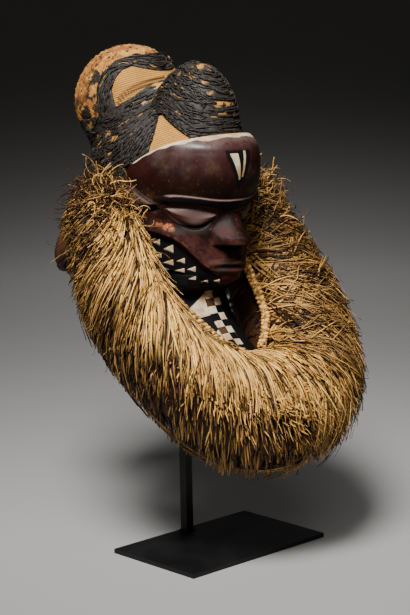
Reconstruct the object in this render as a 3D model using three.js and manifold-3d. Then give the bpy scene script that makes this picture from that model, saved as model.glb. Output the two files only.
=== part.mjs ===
// Carved face mask with a beard board, a woven cap and a raffia ruff, held by a steel stand.
// Millimetres, +Z up, the face looks along -Y, the origin is the centre of the plate's underside.
import * as THREE from 'three';
import Module from 'manifold-3d';

const wasm = await Module();
wasm.setup();

// clearance between pieces
const gap = 0.3;

// stand
const plateLength = 250;
const plateDepth = 150;
const plateThickness = 6;
const barSide = 12;
const barFoot = [0, 64, plateThickness + gap];
const barBend = [0, 78, 470];
const barTip = [0, -13, 476];
const weldSpread = 3;

// carved face
const faceBack = 80;
const faceWall = 12;
// each row: height, front y, half width, how pointed the front is
const faceRows = [
  [345, 2, 66, 2.4],
  [356, -10, 72, 2.4],
  [364, -19, 79, 2.4],
  [371, -23, 83, 2.3],
  [385, -24, 87, 2.1],
  [405, -22, 90, 1.8],
  [430, -19, 91, 1.5],
  [455, -20, 92, 1.2],
  [470, -28, 93, 1.05],
  [485, -37, 93, 1.0],
  [500, -42, 92, 1.0],
  [518, -44, 90, 1.0],
  [532, -42, 88, 1.0],
  [543, -37, 86, 1.0],
  [551, -27, 81, 1.0],
  [557, -14, 75, 1.0],
  [562, -4, 68, 1.0],
  [590, 35, 42, 1.0],
];
// beard board: a plank that runs down from under the chin and curves forward,
// each row a point of its upper face on the middle line as y, z
const beardPath = [[24, 361], [17, 343], [6, 318], [-14, 294], [-38, 273], [-64, 254]];
const beardHalfTop = 44;
const beardHalfEnd = 52;
const beardThickness = 14;
const beardRise = 20;

// woven cap
const capWall = 7;
const capCentre = [0, 105, 530];
const fibreThickness = 5;
// side view outlines as [y, z]: the black fibre, and the two bare woven panels in it
const fibreOutline = [
  [-60, 430], [84, 492], [120, 474], [160, 468], [198, 490], [206, 530], [202, 565], [182, 566],
  [160, 572], [159, 580], [164, 608], [162, 625], [153, 645], [136, 653], [117, 650], [104, 647], [80, 700], [-60, 700],
];
const roundPanel = [
  [133, 585], [141, 607], [140, 623], [136, 634], [128, 639], [113, 635], [91, 628], [103, 613], [113, 599],
];
const frontPanel = [[63, 579], [55, 579], [8, 551], [20, 535], [50, 520], [53, 554]];

// plaited cord and fringe
const cordRadius = 7;
const cordStart = 0.16;
const cordEnd = 0.4;
const cordAngle = Math.PI * 0.98;
const cordStandOff = 3;
// roots of the fringe, a swelling on its inner side behind the cords
const rootReach = 0.5;
const rootAngle = Math.PI * 0.68;
const rootSpread = Math.PI * 0.28;

function lerp(a, b, t) {
  return a + (b - a) * t;
}

function clamp(value, low, high) {
  return Math.min(high, Math.max(low, value));
}

function smooth(low, high, value) {
  const t = clamp((value - low) / (high - low), 0, 1);
  return t * t * (3 - 2 * t);
}

function bump(value, centre, halfWidth) {
  const t = clamp(Math.abs(value - centre) / halfWidth, 0, 1);
  const c = 1 - t * t;
  return c * c;
}

// linear interpolation in a table whose first column rises
function table(rows, key, column) {
  if (key <= rows[0][0]) {
    return rows[0][column];
  }
  for (let i = 1; i < rows.length; i += 1) {
    if (key <= rows[i][0]) {
      const t = (key - rows[i - 1][0]) / (rows[i][0] - rows[i - 1][0]);
      return lerp(rows[i - 1][column], rows[i][column], t);
    }
  }
  return rows[rows.length - 1][column];
}

// a smooth curve through rows of numbers, at t from 0 to 1
function curve(rows, t) {
  const last = rows.length - 1;
  const i = Math.min(Math.floor(clamp(t, 0, 1) * last), last - 1);
  const w = clamp(t, 0, 1) * last - i;
  return rows[0].map((unused, k) => {
    const b = rows[i][k];
    const c = rows[i + 1][k];
    const a = i > 0 ? rows[i - 1][k] : 2 * b - c;
    const d = i + 2 <= last ? rows[i + 2][k] : 2 * c - b;
    return b + 0.5 * w * (c - a) + w * w * (a - 2.5 * b + 2 * c - 0.5 * d)
      + w ** 3 * (1.5 * (b - c) + 0.5 * (d - a));
  });
}

// unit direction of a curve's first columns at t
function curveDirection(rows, t) {
  const step = 0.001;
  const from = curve(rows, Math.max(t - step, 0));
  const to = curve(rows, Math.min(t + step, 1));
  return new THREE.Vector3(...to.slice(0, 3)).sub(new THREE.Vector3(...from.slice(0, 3))).normalize();
}

// a closed body from rings of points, each ring with the same number of points
function ringBody(rings) {
  const count = rings[0].length;
  const verts = [];
  const tris = [];
  for (const ring of rings) {
    for (const p of ring) {
      verts.push(p[0], p[1], p[2]);
    }
  }
  for (let r = 0; r + 1 < rings.length; r += 1) {
    for (let i = 0; i < count; i += 1) {
      const j = (i + 1) % count;
      const a = r * count + i;
      const b = r * count + j;
      const c = (r + 1) * count + j;
      const d = (r + 1) * count + i;
      tris.push(a, b, c, a, c, d);
    }
  }
  const ends = [0, rings.length - 1];
  ends.forEach((r, k) => {
    const ring = rings[r];
    const middle = [0, 1, 2].map((axis) => ring.reduce((sum, p) => sum + p[axis], 0) / count);
    const centre = verts.length / 3;
    verts.push(...middle);
    for (let i = 0; i < count; i += 1) {
      const j = (i + 1) % count;
      if (k === 0) {
        tris.push(centre, r * count + j, r * count + i);
      } else {
        tris.push(centre, r * count + i, r * count + j);
      }
    }
  });
  return { verts, tris };
}

function volumeOf(body) {
  const { verts, tris } = body;
  let sum = 0;
  for (let t = 0; t < tris.length; t += 3) {
    const a = new THREE.Vector3().fromArray(verts, tris[t] * 3);
    const b = new THREE.Vector3().fromArray(verts, tris[t + 1] * 3);
    const c = new THREE.Vector3().fromArray(verts, tris[t + 2] * 3);
    sum += a.dot(b.cross(c));
  }
  return sum / 6;
}

function toSolid(body) {
  const tris = body.tris.slice();
  if (volumeOf(body) < 0) {
    for (let t = 0; t < tris.length; t += 3) {
      const keep = tris[t + 1];
      tris[t + 1] = tris[t + 2];
      tris[t + 2] = keep;
    }
  }
  return new wasm.Manifold(new wasm.Mesh({
    numProp: 3,
    vertProperties: new Float32Array(body.verts),
    triVerts: new Uint32Array(tris),
  }));
}

function toGeometry(solid) {
  const mesh = solid.getMesh();
  const geometry = new THREE.BufferGeometry();
  const position = new Float32Array(mesh.numVert * 3);
  for (let i = 0; i < mesh.numVert; i += 1) {
    for (let k = 0; k < 3; k += 1) {
      position[i * 3 + k] = mesh.vertProperties[i * mesh.numProp + k];
    }
  }
  geometry.setAttribute('position', new THREE.BufferAttribute(position, 3));
  geometry.setIndex(new THREE.BufferAttribute(new Uint32Array(mesh.triVerts), 1));
  geometry.computeVertexNormals();
  return geometry;
}

// a straight bar with a four-sided section between two points
function bar(from, to, side, sideVector) {
  const a = new THREE.Vector3(...from);
  const b = new THREE.Vector3(...to);
  const along = b.clone().sub(a).normalize();
  const u = new THREE.Vector3(...sideVector);
  const v = along.clone().cross(u).normalize();
  const rings = [a, b].map((p) => [[-1, -1], [1, -1], [1, 1], [-1, 1]].map(([i, j]) => (
    p.clone().addScaledVector(u, i * side / 2).addScaledVector(v, j * side / 2).toArray()
  )));
  return toSolid(ringBody(rings));
}

function block(low, high) {
  const rings = [low[2], high[2]].map((z) => [
    [low[0], low[1], z], [high[0], low[1], z], [high[0], high[1], z], [low[0], high[1], z],
  ]);
  return toSolid(ringBody(rings));
}

// the height of the cap's lower edge at a distance y from front to back:
// the hairline on the face, then down behind the face and on to the nape
function hairline(y) {
  const d = Math.min(y, faceBack) + 36;
  const front = 558 - 0.1 * d - 0.0026 * d * d;
  return front - 79 * smooth(81.5, 95, y) - 0.5 * Math.max(y - 95, 0);
}

// everything below the hairline, moved up or down by shift
function underHairline(shift) {
  const rings = [];
  const stations = [-240, -60, -40, -20, 0, 20, 40, 60, 80, 81.5, 84, 87, 90, 93, 96, 400];
  for (const y of stations) {
    const top = hairline(Math.max(y, -60)) + shift;
    rings.push([[-320, y, 100], [320, y, 100], [320, y, top], [-320, y, top]]);
  }
  return toSolid(ringBody(rings));
}

// the plain oval of the face without its features
function faceOval(s, z, inset) {
  const front = table(faceRows, z, 1) + inset;
  const half = table(faceRows, z, 2) - inset;
  const point = table(faceRows, z, 3);
  const angle = s * Math.PI / 2;
  const depth = Math.cos(angle) ** point;
  return [half * Math.sin(angle), faceBack - (faceBack - front) * depth];
}

// how far the carving stands out from the plain oval, at distance x from the middle and height z
function faceRelief(x, z) {
  const side = Math.abs(x);
  let out = 0;
  // brow: one band across both eyes, thinner towards the temples
  const browMiddle = 464.5 + 10.5 * smooth(15, 66, side) - 2 * smooth(66, 84, side);
  const browHalf = lerp(9, 5, smooth(30, 80, side));
  out += 4.5 * bump(z, browMiddle, browHalf) * (1 - smooth(76, 86, side));
  // eye socket and the heavy lid in it
  const socket = bump(side, 50, 34) * bump(z, 448, 22);
  out -= 5 * socket;
  const lid = bump(side, 51, 23) * bump(z, 452, 14);
  out += 9 * lid;
  out -= 5 * bump(side, 51, 21) * bump(z, 438, 6);
  // nose
  const noseHigh = 27 * smooth(462, 424, z) * smooth(409, 417, z);
  const noseHalf = lerp(10, 30, smooth(452, 424, z));
  const across = clamp(side / noseHalf, 0, 1);
  const ridge = Math.cos(across * Math.PI / 2) ** lerp(1.0, 0.75, smooth(440, 418, z));
  out += noseHigh * ridge * lerp(1, 0.9, across);
  // lips
  const mouth = Math.sqrt(bump(side, 0, 31));
  out += 9 * mouth * bump(z, 388, 7);
  out += 8 * mouth * bump(z, 378, 7);
  // cheek ridge that runs from the ear down to the chin
  const ridgeZ = table([[0, 362], [24, 375], [36, 384], [46, 396], [56, 410], [64, 419], [80, 429]], side, 1);
  const below = z - ridgeZ;
  out += 4 * bump(below, 2, 16) * smooth(18, 34, side);
  out -= 5 * smooth(2, -14, below) * smooth(20, 40, side);
  // soft chin
  out += 4 * bump(side, 0, 26) * bump(z, 368, 12);
  return out;
}

// ear: a shelf with a hollow below it, placed by distance from front to back
function earRelief(y, z) {
  const long = bump(y, 54, 24);
  return 7 * Math.sqrt(long) * bump(z, 474, 11) - 5 * long * bump(z, 458, 7);
}

function facePoint(s, z) {
  const [x, y] = faceOval(s, z, 0);
  const [x2, y2] = faceOval(s + (s < 0 ? 0.01 : -0.01), z, 0);
  const sign = s < 0 ? -1 : 1;
  const run = Math.hypot(x - x2, y - y2);
  const nx = Math.abs((y - y2) / run) * sign;
  const ny = -Math.abs((x - x2) / run);
  const high = faceRelief(x, z);
  const ear = Math.abs(x) > 70 ? earRelief(y, z) : 0;
  const forward = Math.abs(x) < 34 && z < 470 ? 1 : 0;
  const blend = forward * (1 - smooth(22, 34, Math.abs(x)));
  const dx = lerp(nx, 0, blend);
  const dy = lerp(ny, -1, blend);
  return [x + dx * (high + ear), Math.min(y + dy * (high + ear), faceBack), z];
}

function lowEdge(s) {
  const t = Math.abs(Math.sin(s * Math.PI / 2));
  return 355 + 41 * t ** 1.7;
}

function faceOuter() {
  const columns = [];
  const steps = 20;
  for (let i = -steps; i <= steps; i += 1) {
    const t = i / steps;
    columns.push(Math.sign(t) * Math.abs(t) ** 1.25);
  }
  const levels = [
    0, 0.05, 0.09, 0.125, 0.155, 0.19, 0.22, 0.25, 0.28, 0.31, 0.34, 0.37, 0.395, 0.42, 0.445, 0.47,
    0.495, 0.52, 0.55, 0.58, 0.62, 0.68, 0.75, 0.83, 0.91, 1,
  ];
  const rings = levels.map((level) => columns.map((s) => (
    facePoint(s, lerp(lowEdge(s), 590, level))
  )));
  return toSolid(ringBody(rings));
}

function faceHollow() {
  const rings = [300, 330, 352, 372, 400, 440, 480, 520, 560, 600].map((z) => {
    const ring = [];
    for (let i = -9; i <= 9; i += 1) {
      const [x, y] = faceOval(i / 9, clamp(z, 366, 560), faceWall);
      ring.push([x, y + 0.9 * Math.max(0, 400 - z), z]);
    }
    ring.push([ring[18][0], faceBack + 40, z]);
    ring.push([ring[0][0], faceBack + 40, z]);
    return ring;
  });
  return toSolid(ringBody(rings));
}

// the thick wood between the underside of the jaw and the root of the beard board
function neckBlock() {
  const rows = [[334, 22, 60, 38], [346, 15, 64, 46], [358, -2, 66, 52], [372, -4, 66, 52]];
  const rings = rows.map(([z, front, back, half]) => [
    [-half, front + 14, z], [0, front, z], [half, front + 14, z], [half, back, z], [-half, back, z],
  ]);
  return toSolid(ringBody(rings));
}

function beardBoard(grow) {
  const steps = 10;
  const rows = beardPath.map(([y, z]) => [0, y, z]);
  const rings = [];
  for (let i = 0; i <= steps; i += 1) {
    const t = i / steps;
    const slope = curveDirection(rows, t);
    const normal = new THREE.Vector3(0, slope.z, -slope.y);
    const p = new THREE.Vector3(...curve(rows, t));
    if (i === 0 || i === steps) {
      p.addScaledVector(slope, i === 0 ? -grow : grow);
    }
    const half = lerp(beardHalfTop, beardHalfEnd, t) + grow - 10 * smooth(0.85, 1, t);
    const ring = [];
    for (let k = -5; k <= 5; k += 1) {
      ring.push([half * k / 5, grow - beardRise * (k / 5) ** 2]);
    }
    for (let k = 5; k >= -5; k -= 2) {
      ring.push([half * k / 5 * 0.94, -grow - beardThickness - beardRise * (k / 5) ** 2]);
    }
    rings.push(ring.map(([x, n]) => p.clone().addScaledVector(normal, n).setX(x).toArray()));
  }
  return toSolid(ringBody(rings));
}

// signed measure of an ellipsoid: 1 on its surface, less inside
function ellipsoid(p, centre, radii) {
  let sum = 0;
  for (let k = 0; k < 3; k += 1) {
    sum += ((p[k] - centre[k]) / radii[k]) ** 2;
  }
  return Math.sqrt(sum);
}

// cap: dome over the head, front lobe, rear lobe, the flared rim at the nape and the back of the head
const capLobes = [
  [[0, 90, 500], [91, 118, 92]],
  [[0, 47, 556], [51, 59, 86]],
  [[0, 172, 588], [70, 80, 75]],
  [[0, 135, 378], [111, 149, 81]],
  [[0, 125, 457], [90, 112, 95]],
];
const capBlend = 14;

function capField(p, inset) {
  let sum = 0;
  for (const [centre, radii] of capLobes) {
    const inner = radii.map((r) => r - inset);
    sum += Math.exp(-capBlend * (ellipsoid(p, centre, inner) - 1));
  }
  return Math.log(sum);
}

// distance from the cap's centre to its surface in a direction
function capReach(direction, inset) {
  let near = 10;
  let far = 320;
  for (let i = 0; i < 26; i += 1) {
    const middle = (near + far) / 2;
    const p = capCentre.map((c, k) => c + direction[k] * middle);
    if (capField(p, inset) > 0) {
      near = middle;
    } else {
      far = middle;
    }
  }
  return near;
}

function capBody(inset, around, levels) {
  const rings = [];
  for (let j = 0; j <= levels; j += 1) {
    const up = lerp(-60, 86, j / levels) * Math.PI / 180;
    const ring = [];
    for (let i = 0; i < around; i += 1) {
      const turn = i / around * Math.PI * 2;
      const direction = [
        Math.sin(turn) * Math.cos(up), -Math.cos(turn) * Math.cos(up), Math.sin(up),
      ];
      const reach = capReach(direction, inset);
      ring.push(capCentre.map((c, k) => c + direction[k] * reach));
    }
    rings.push(ring);
  }
  return toSolid(ringBody(rings));
}

// a straight prism across the whole width with a side view outline
function sidePrism(outline) {
  return toSolid(outlineBody(outline, -200, 200));
}

function outlineBody(outline, from, to) {
  const flat = outline.map(([y, z]) => new THREE.Vector2(y, z));
  const faces = THREE.ShapeUtils.triangulateShape(flat, []);
  const verts = [];
  for (const x of [from, to]) {
    for (const [y, z] of outline) {
      verts.push(x, y, z);
    }
  }
  const n = outline.length;
  const tris = [];
  for (const [a, b, c] of faces) {
    tris.push(a, c, b, a + n, b + n, c + n);
  }
  for (let i = 0; i < n; i += 1) {
    const j = (i + 1) % n;
    tris.push(i, j, j + n, i, j + n, i + n);
  }
  return { verts, tris };
}

// fringe: where its middle runs on the -X side, from under the chin to the temple,
// with the half size across and the half size from front to back
const ruffPath = [
  [0, -92, 205, 78, 80],
  [-62, -80, 216, 75, 78],
  [-117, -42, 267, 72, 68],
  [-141, 14, 330, 65, 62],
  [-138, 60, 394, 52, 56],
  [-130, 92, 452, 44, 50],
  [-120, 104, 490, 32, 38],
];

const ruffRows = [
  ...ruffPath.slice(1).reverse(),
  ...ruffPath.map((p) => [-p[0], ...p.slice(1)]),
];

// middle, outward and backward directions and half sizes of the fringe at t from 0 to 1
function ruffStation(t) {
  const row = curve(ruffRows, t);
  const p = new THREE.Vector3(...row.slice(0, 3));
  const along = curveDirection(ruffRows, t);
  const outward = new THREE.Vector3(p.x, (p.y - 30) * 0.6, (p.z - 420) * 0.8);
  outward.addScaledVector(along, -outward.dot(along)).normalize();
  const back = along.clone().cross(outward).normalize();
  return { p, along, outward, back, half: { x: row[3], y: row[4] } };
}

function ruffBody() {
  const steps = 34;
  const around = 18;
  const rings = [];
  for (let i = 0; i <= steps; i += 1) {
    const t = i / steps;
    const { p, outward, back, half } = ruffStation(t);
    const end = Math.min(1, Math.sqrt(1 - clamp(Math.abs(t - 0.5) * 2, 0, 1) ** 8) + 0.12);
    const ring = [];
    for (let k = 0; k < around; k += 1) {
      const angle = k / around * Math.PI * 2;
      const brush = smooth(-0.2, 0.6, Math.cos(angle));
      const tuft = 1 + 0.035 * Math.sin(i * 2.4 + 1.7 * Math.sin(k * 1.3)) * brush;
      const root = 1 + rootReach * bump(angle, rootAngle, rootSpread) * bump(Math.abs(t - 0.5), 0.24, 0.22);
      ring.push(p.clone()
        .addScaledVector(outward, Math.cos(angle) * half.x * end * tuft * root)
        .addScaledVector(back, Math.sin(angle) * half.y * end * tuft * root)
        .toArray());
    }
    rings.push(ring);
  }
  return toSolid(ringBody(rings));
}

// plaited cord that lies on the inner side of the fringe, with the lumps of its plait
function cordBody(radius, mirrored) {
  const steps = 22;
  const rings = [];
  for (let i = 0; i <= steps; i += 1) {
    const run = lerp(cordStart, cordEnd, i / steps);
    const t = mirrored ? 1 - run : run;
    const { p, along, outward, back, half } = ruffStation(t);
    const place = p.clone()
      .addScaledVector(outward, Math.cos(cordAngle) * (half.x + cordStandOff))
      .addScaledVector(back, Math.sin(cordAngle) * (half.y + cordStandOff));
    const lump = radius * (1 + 0.16 * (i % 2));
    const ring = [];
    for (let k = 0; k < 6; k += 1) {
      const angle = k / 6 * Math.PI * 2;
      const side = outward.clone().multiplyScalar(Math.cos(angle)).addScaledVector(back, Math.sin(angle));
      side.addScaledVector(along, -side.dot(along)).normalize();
      ring.push(place.clone().addScaledVector(side, lump).toArray());
    }
    rings.push(ring);
  }
  return toSolid(ringBody(rings));
}

// the face and beard grown by a clearance, used to keep the fringe off them
function faceEnvelope(clear) {
  const rings = [350, 365, 385, 410, 450, 500, 560].map((z) => {
    const ring = [];
    for (let i = -6; i <= 6; i += 1) {
      const [x, y] = faceOval(i / 6, Math.max(z, 352), -clear - 6 * smooth(425, 450, z));
      ring.push([x, y, z]);
    }
    ring.push([ring[12][0], faceBack + 40, z]);
    ring.push([ring[0][0], faceBack + 40, z]);
    return ring;
  });
  return toSolid(ringBody(rings));
}

const group = new THREE.Group();

function piece(name, solid, colour, roughness, metalness) {
  const material = new THREE.MeshStandardMaterial({ color: colour, roughness, metalness });
  const mesh = new THREE.Mesh(toGeometry(solid), material);
  mesh.name = name;
  group.add(mesh);
}

// stand
const plateCorner = [plateLength / 2, plateDepth / 2, plateThickness];
const plate = block([-plateCorner[0], -plateCorner[1], 0], plateCorner);
const upright = bar(barFoot, barBend, barSide, [1, 0, 0]);
const arm = bar(barBend.map((v, k) => (k === 1 ? v + barSide / 2 : v)), barTip, barSide, [1, 0, 0]);
const underPlate = block([-200, -200, -40], [200, 200, plateThickness + gap]);
const weld = toSolid(ringBody([0, 1].map((k) => {
  const half = barSide / 2 + (k === 0 ? weldSpread : 0.2);
  const z = barFoot[2] + (k === 0 ? 0 : weldSpread);
  return [[-1, -1], [1, -1], [1, 1], [-1, 1]].map(([i, j]) => [i * half, barFoot[1] + j * half, z]);
})));
const post = upright.add(arm).add(weld).subtract(underPlate);

// face
const belowHair = underHairline(-gap / 2);
const faceShell = faceOuter().subtract(faceHollow()).intersect(belowHair);
const face = faceShell.add(neckBlock()).add(beardBoard(0));

// cap
const capAround = 30;
const capLevels = 17;
const capOuter = capBody(0, capAround, capLevels);
const capInner = capBody(capWall, 18, 10);
const aboveHair = underHairline(gap / 2);
const cap = capOuter.subtract(capInner).subtract(aboveHair);

// black fibre on the cap
const fibre = capBody(-fibreThickness, capAround, capLevels)
  .subtract(capBody(-gap, capAround, capLevels))
  .intersect(sidePrism(fibreOutline))
  .subtract(sidePrism(roundPanel))
  .subtract(sidePrism(frontPanel))
  .subtract(underHairline(1));

// fringe
const neckSpace = block([-56, -8, 328], [56, 70, 352]);
const envelope = faceEnvelope(4).add(neckSpace).add(beardBoard(3.5));
const clearOfCap = capBody(-fibreThickness - 2.5, 20, 12).subtract(underHairline(-1));
const cords = [false, true].map((mirrored) => (
  cordBody(cordRadius, mirrored).subtract(envelope).subtract(clearOfCap)
));
const cordSpace = cordBody(cordRadius + 0.8, false).add(cordBody(cordRadius + 0.8, true));
const ruff = ruffBody().subtract(envelope).subtract(clearOfCap).subtract(cordSpace);

piece('base_plate', plate, 0x151515, 0.45, 0.5);
piece('post', post, 0x151515, 0.45, 0.5);
piece('mask_face', face, 0x4a1a16, 0.4, 0);
piece('woven_cap', cap, 0xb08a52, 0.9, 0);
piece('black_fibre', fibre, 0x17161a, 0.7, 0);
piece('ruff_cord_r', cords[0], 0xb8935a, 0.9, 0);
piece('ruff_cord_l', cords[1], 0xb8935a, 0.9, 0);
piece('raffia_ruff', ruff, 0xc09a5a, 0.95, 0);

export default group;
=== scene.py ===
"""Carved face mask with a beard board, a lobed woven cap and a raffia ruff on a steel stand."""
import math
from typing import NamedTuple

import bmesh
import bpy
import numpy as np
from mathutils import Color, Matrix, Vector


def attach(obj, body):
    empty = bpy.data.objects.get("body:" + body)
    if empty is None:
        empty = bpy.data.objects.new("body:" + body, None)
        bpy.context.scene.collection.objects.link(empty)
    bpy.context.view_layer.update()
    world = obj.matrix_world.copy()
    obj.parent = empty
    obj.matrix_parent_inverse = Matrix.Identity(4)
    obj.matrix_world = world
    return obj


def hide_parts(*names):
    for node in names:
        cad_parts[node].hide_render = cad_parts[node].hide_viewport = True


bl_info = {
    "name": "Mask on a stand",
    "version": (1, 0, 0),
    "blender": (4, 5, 0),
    "location": "View3D > Sidebar > Mask",
    "description": "Builds a carved mask with a woven cap and a raffia ruff on a steel stand",
    "category": "Add Mesh",
}

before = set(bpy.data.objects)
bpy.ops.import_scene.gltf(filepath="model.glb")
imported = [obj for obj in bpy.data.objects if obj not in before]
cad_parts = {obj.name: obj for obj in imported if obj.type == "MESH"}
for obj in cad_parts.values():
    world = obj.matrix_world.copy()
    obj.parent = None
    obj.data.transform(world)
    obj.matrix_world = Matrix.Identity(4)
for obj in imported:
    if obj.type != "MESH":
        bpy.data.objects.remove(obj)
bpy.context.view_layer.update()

MM = 0.001

# Lengths below are in millimetres in the row's frame: +Z up, the face looks along -Y.
FACE_BACK = 80.0
FACE_WALL = 12.0
FACE_TOP = 590.0
# points across and up of the fine meshes
FACE_GRID = (280, 240)
BEARD_GRID = (90, 96)
CAP_GRID = (200, 150)
MAT_GRID = (110, 80)
# height, front y, half width, how pointed the front is
FACE_ROWS = np.array([
    [345, 2, 66, 2.4], [356, -10, 72, 2.4], [364, -19, 79, 2.4], [371, -23, 83, 2.3], [385, -24, 87, 2.1],
    [405, -22, 90, 1.8], [430, -19, 91, 1.5], [455, -20, 92, 1.2], [470, -28, 93, 1.05], [485, -37, 93, 1],
    [500, -42, 92, 1], [518, -44, 90, 1], [532, -42, 88, 1], [543, -37, 86, 1], [551, -27, 81, 1],
    [557, -14, 75, 1], [562, -4, 68, 1], [590, 35, 42, 1],
], float)
# heights of the cross sections of the hollow, and of the room kept free of the fringe
HOLLOW_LEVELS = (300, 330, 352, 372, 400, 440, 480, 520, 560, 600)
CLEAR_LEVELS = (350, 365, 385, 410, 450, 500, 560)

# distance from the middle, height of the cheek ridge there
CHEEK_RIDGE = np.array([
    [0, 362], [24, 375], [36, 384], [46, 396], [56, 410], [64, 419], [80, 429],
], float)

# triangles on the jaw: place of the upright edge around the jaw, height of its top, its length,
# how far back the point lies
JAW_MARKS = (
    (79.5, 419.5, 9.0, 10.0), (62.0, 413, 12.5, 13.0), (77.5, 400.5, 7.5, 11.5), (62.2, 392.7, 9.5, 14.5),
    (47.1, 395.3, 8.6, 10.8), (33.1, 384, 8.4, 11.5), (47.5, 381.2, 7.2, 13.5), (32.7, 371.2, 5.5, 10.5),
    (17.3, 365.5, 5.0, 10.0), (1.6, 367.5, 5.5, 9.0),
)
# edges of the eyelid: distance from the face's middle and height where the edge turns, and its bend
LID_LOWER = (46.5, 437.5, 0.0265)
LID_UPPER = (67.0, 461.3, -0.0048)

# neck: height, front y, back y, half width
NECK_ROWS = np.array([[334, 22, 60, 38], [346, 15, 64, 46], [358, -2, 66, 52], [372, -4, 66, 52]], float)
# beard board: points of its upper face on the middle line, as y, z
BEARD_PATH = np.array([[24, 361], [17, 343], [6, 318], [-14, 294], [-38, 273], [-64, 254]], float)
BEARD_STEPS = np.linspace(0, 1, 101)
BEARD_COLUMN = 12.5
BEARD_ROW = 10.5
BEARD_HALF_TOP = 44.0
BEARD_HALF_END = 52.0
BEARD_THICKNESS = 14.0
BEARD_RISE = 20.0

# cap: centre and radii of the rounded masses that melt into one surface
CAP_CENTRE = np.array([0.0, 105.0, 530.0])
CAP_LOBES = [
    ((0, 90, 500), (91, 118, 92)),
    ((0, 47, 556), (51, 59, 86)),
    ((0, 172, 588), (70, 80, 75)),
    ((0, 135, 378), (111, 149, 81)),
    ((0, 125, 457), (90, 112, 95)),
]
CAP_BLEND = 14.0
CAP_WALL = 7.0
# height of a row of the weave, in metres, and the colours of its dark specks and of the painted shade in
# its deep folds and along its cut edge
WEAVE_ROW = 0.0031
SPECK_COLOUR = (0.02, 0.013, 0.008)
FOLD_SHADE_COLOUR = (0.03, 0.017, 0.009)

# side view outlines on the cap, as y, z
ROUND_PANEL = np.array([
    [133, 585], [141, 607], [140, 623], [136, 634], [128, 639], [113, 635], [91, 628], [103, 613],
    [113, 599],
], float)
FRONT_PANEL = np.array([[63, 579], [55, 579], [8, 551], [20, 535], [50, 520], [53, 554]], float)
FIBRE_OUTLINE = np.array([
    [-60, 430], [84, 492], [120, 474], [160, 468], [198, 490], [206, 530], [202, 565], [182, 566],
    [160, 572], [159, 580], [164, 608], [162, 625], [153, 645], [136, 653], [117, 650], [104, 647],
    [80, 700], [-60, 700],
], float)
# folds across the round panel, as y, z, and how far below this line each one lies
FOLD_LINE = np.array([[98, 624], [112, 615], [122, 607], [132, 595]], float)
FOLD_SHIFTS = (0.0, 6.0)

# black fibre: number of strands, points along each, length between these points, range of their
# width and height, and how far the outside and the inside of the mat under them lie off the cap
BLACK_SEED = 5
BLACK_STRANDS = 2600
BLACK_POINTS = 7
BLACK_STEP = 3.8
BLACK_WIDTH = (1.8, 3.4)
BLACK_HEIGHT = (0.8, 1.7)
MAT_OUTSIDE = 1.9
MAT_INSIDE = 0.5
# side view spots where the black fibre is worn away: y, z, size
WORN_SPOTS = (
    (30, 643, 9), (96, 613, 6), (3, 606, 3), (-7, 594, 4.5), (0, 588, 2.5), (-9, 580, 3), (101, 588, 5),
    (94, 574, 5), (142, 548, 7), (122, 545, 5), (182, 558, 8), (12, 619, 3), (68, 614, 3), (49, 630, 3),
    (120, 525, 4), (165, 545, 5), (152, 530, 4), (174, 528, 5),
)
# side view direction of the laid fibre: y, z, direction y, direction z
FIBRE_FLOW = (
    (159, 578, 0, 1), (164, 606, 0, 1), (159, 628, -0.35, 0.9), (148, 644, -0.8, 0.5), (132, 648, -1, 0),
    (112, 642, -0.9, -0.4), (140, 605, 0.05, 1), (145, 590, 0.1, 1), (110, 594, -0.8, 0.6),
    (92, 607, -0.8, 0.6), (80, 625, -1, -0.1), (40, 620, -1, -0.3), (10, 605, -1, -0.5),
    (30, 580, -1, -0.5), (5, 572, -1, -0.2), (-5, 560, -1, 0), (22, 562, -0.9, -0.5),
    (50, 600, -1, -0.4), (150, 560, -1, 0.05), (125, 572, -1, 0.2), (102, 580, -0.8, 0.6),
    (80, 558, -0.35, 0.9), (62, 540, -0.3, 0.95), (88, 535, -0.4, 0.9), (112, 545, -0.8, 0.6),
    (142, 535, -1, 0.3), (102, 508, -0.8, 0.5), (72, 516, -0.8, 0.5), (180, 540, -0.9, 0.1),
    (170, 500, -0.6, 0.7), (196, 530, -0.3, 0.9),
)

# middle of the fringe from under the chin to the temple on the -X side:
# x, y, z, half size across, half size from front to back
RUFF_PATH = np.array([
    [0, -92, 205, 78, 80], [-62, -80, 216, 75, 78], [-117, -42, 267, 72, 68], [-141, 14, 330, 65, 62],
    [-138, 60, 394, 52, 56], [-130, 92, 452, 44, 50], [-120, 104, 490, 32, 38],
], float)
RUFF_ROWS = np.vstack([RUFF_PATH[:0:-1], RUFF_PATH * np.array([-1, 1, 1, 1, 1])])
# length that a strand's sideways steps are measured against
RUFF_LENGTH = 1100.0
# how far the fringe swells where it is tied on, and how far it draws back beside the board
ROOT_REACH = 0.5
ROOT_ANGLE = math.pi * 0.68
ROOT_SPREAD = math.pi * 0.28
BOARD_ROOM = 0.16
# the dark body under the strands, packed fibre that is also painted shade in the gaps between them: its
# size beside the fringe's, its brightness, its room beside the face and the cap
CORE_REACH = 0.84
CORE_SHADE_TONE = 0.06
CORE_OFF_FACE = 4.0
CORE_OFF_CAP = 8.0


class FringeKind(NamedTuple):
    """A kind of fringe strand, with the range of each measure. Angles are half turns around the
    fringe: 1 is its inner side, 1.5 its front, 2 its outer side. Shares are of its half size."""

    strands: int
    points: int
    run: tuple  # place of the root, from one temple (0) to the other (1)
    start: tuple  # angle at the root
    length: tuple
    width: tuple
    stop: tuple = (4, 4.1)  # angle beyond which a strand goes no further
    depth: tuple = (0.84, 0.97)  # share at which the root lies
    lift: tuple = (0.0, 0.09)  # share by which the tip stands off
    tone: float = 1.0
    root: float = 1.1  # how bright the root is beside the tip
    kinks: float = 0.12  # how many strands have a kink
    tuft: int = 5  # how many strands share a place
    gather: float = 0.35  # how far these draw together
    lean: float = 1.0  # how much strands lie across each other


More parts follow.
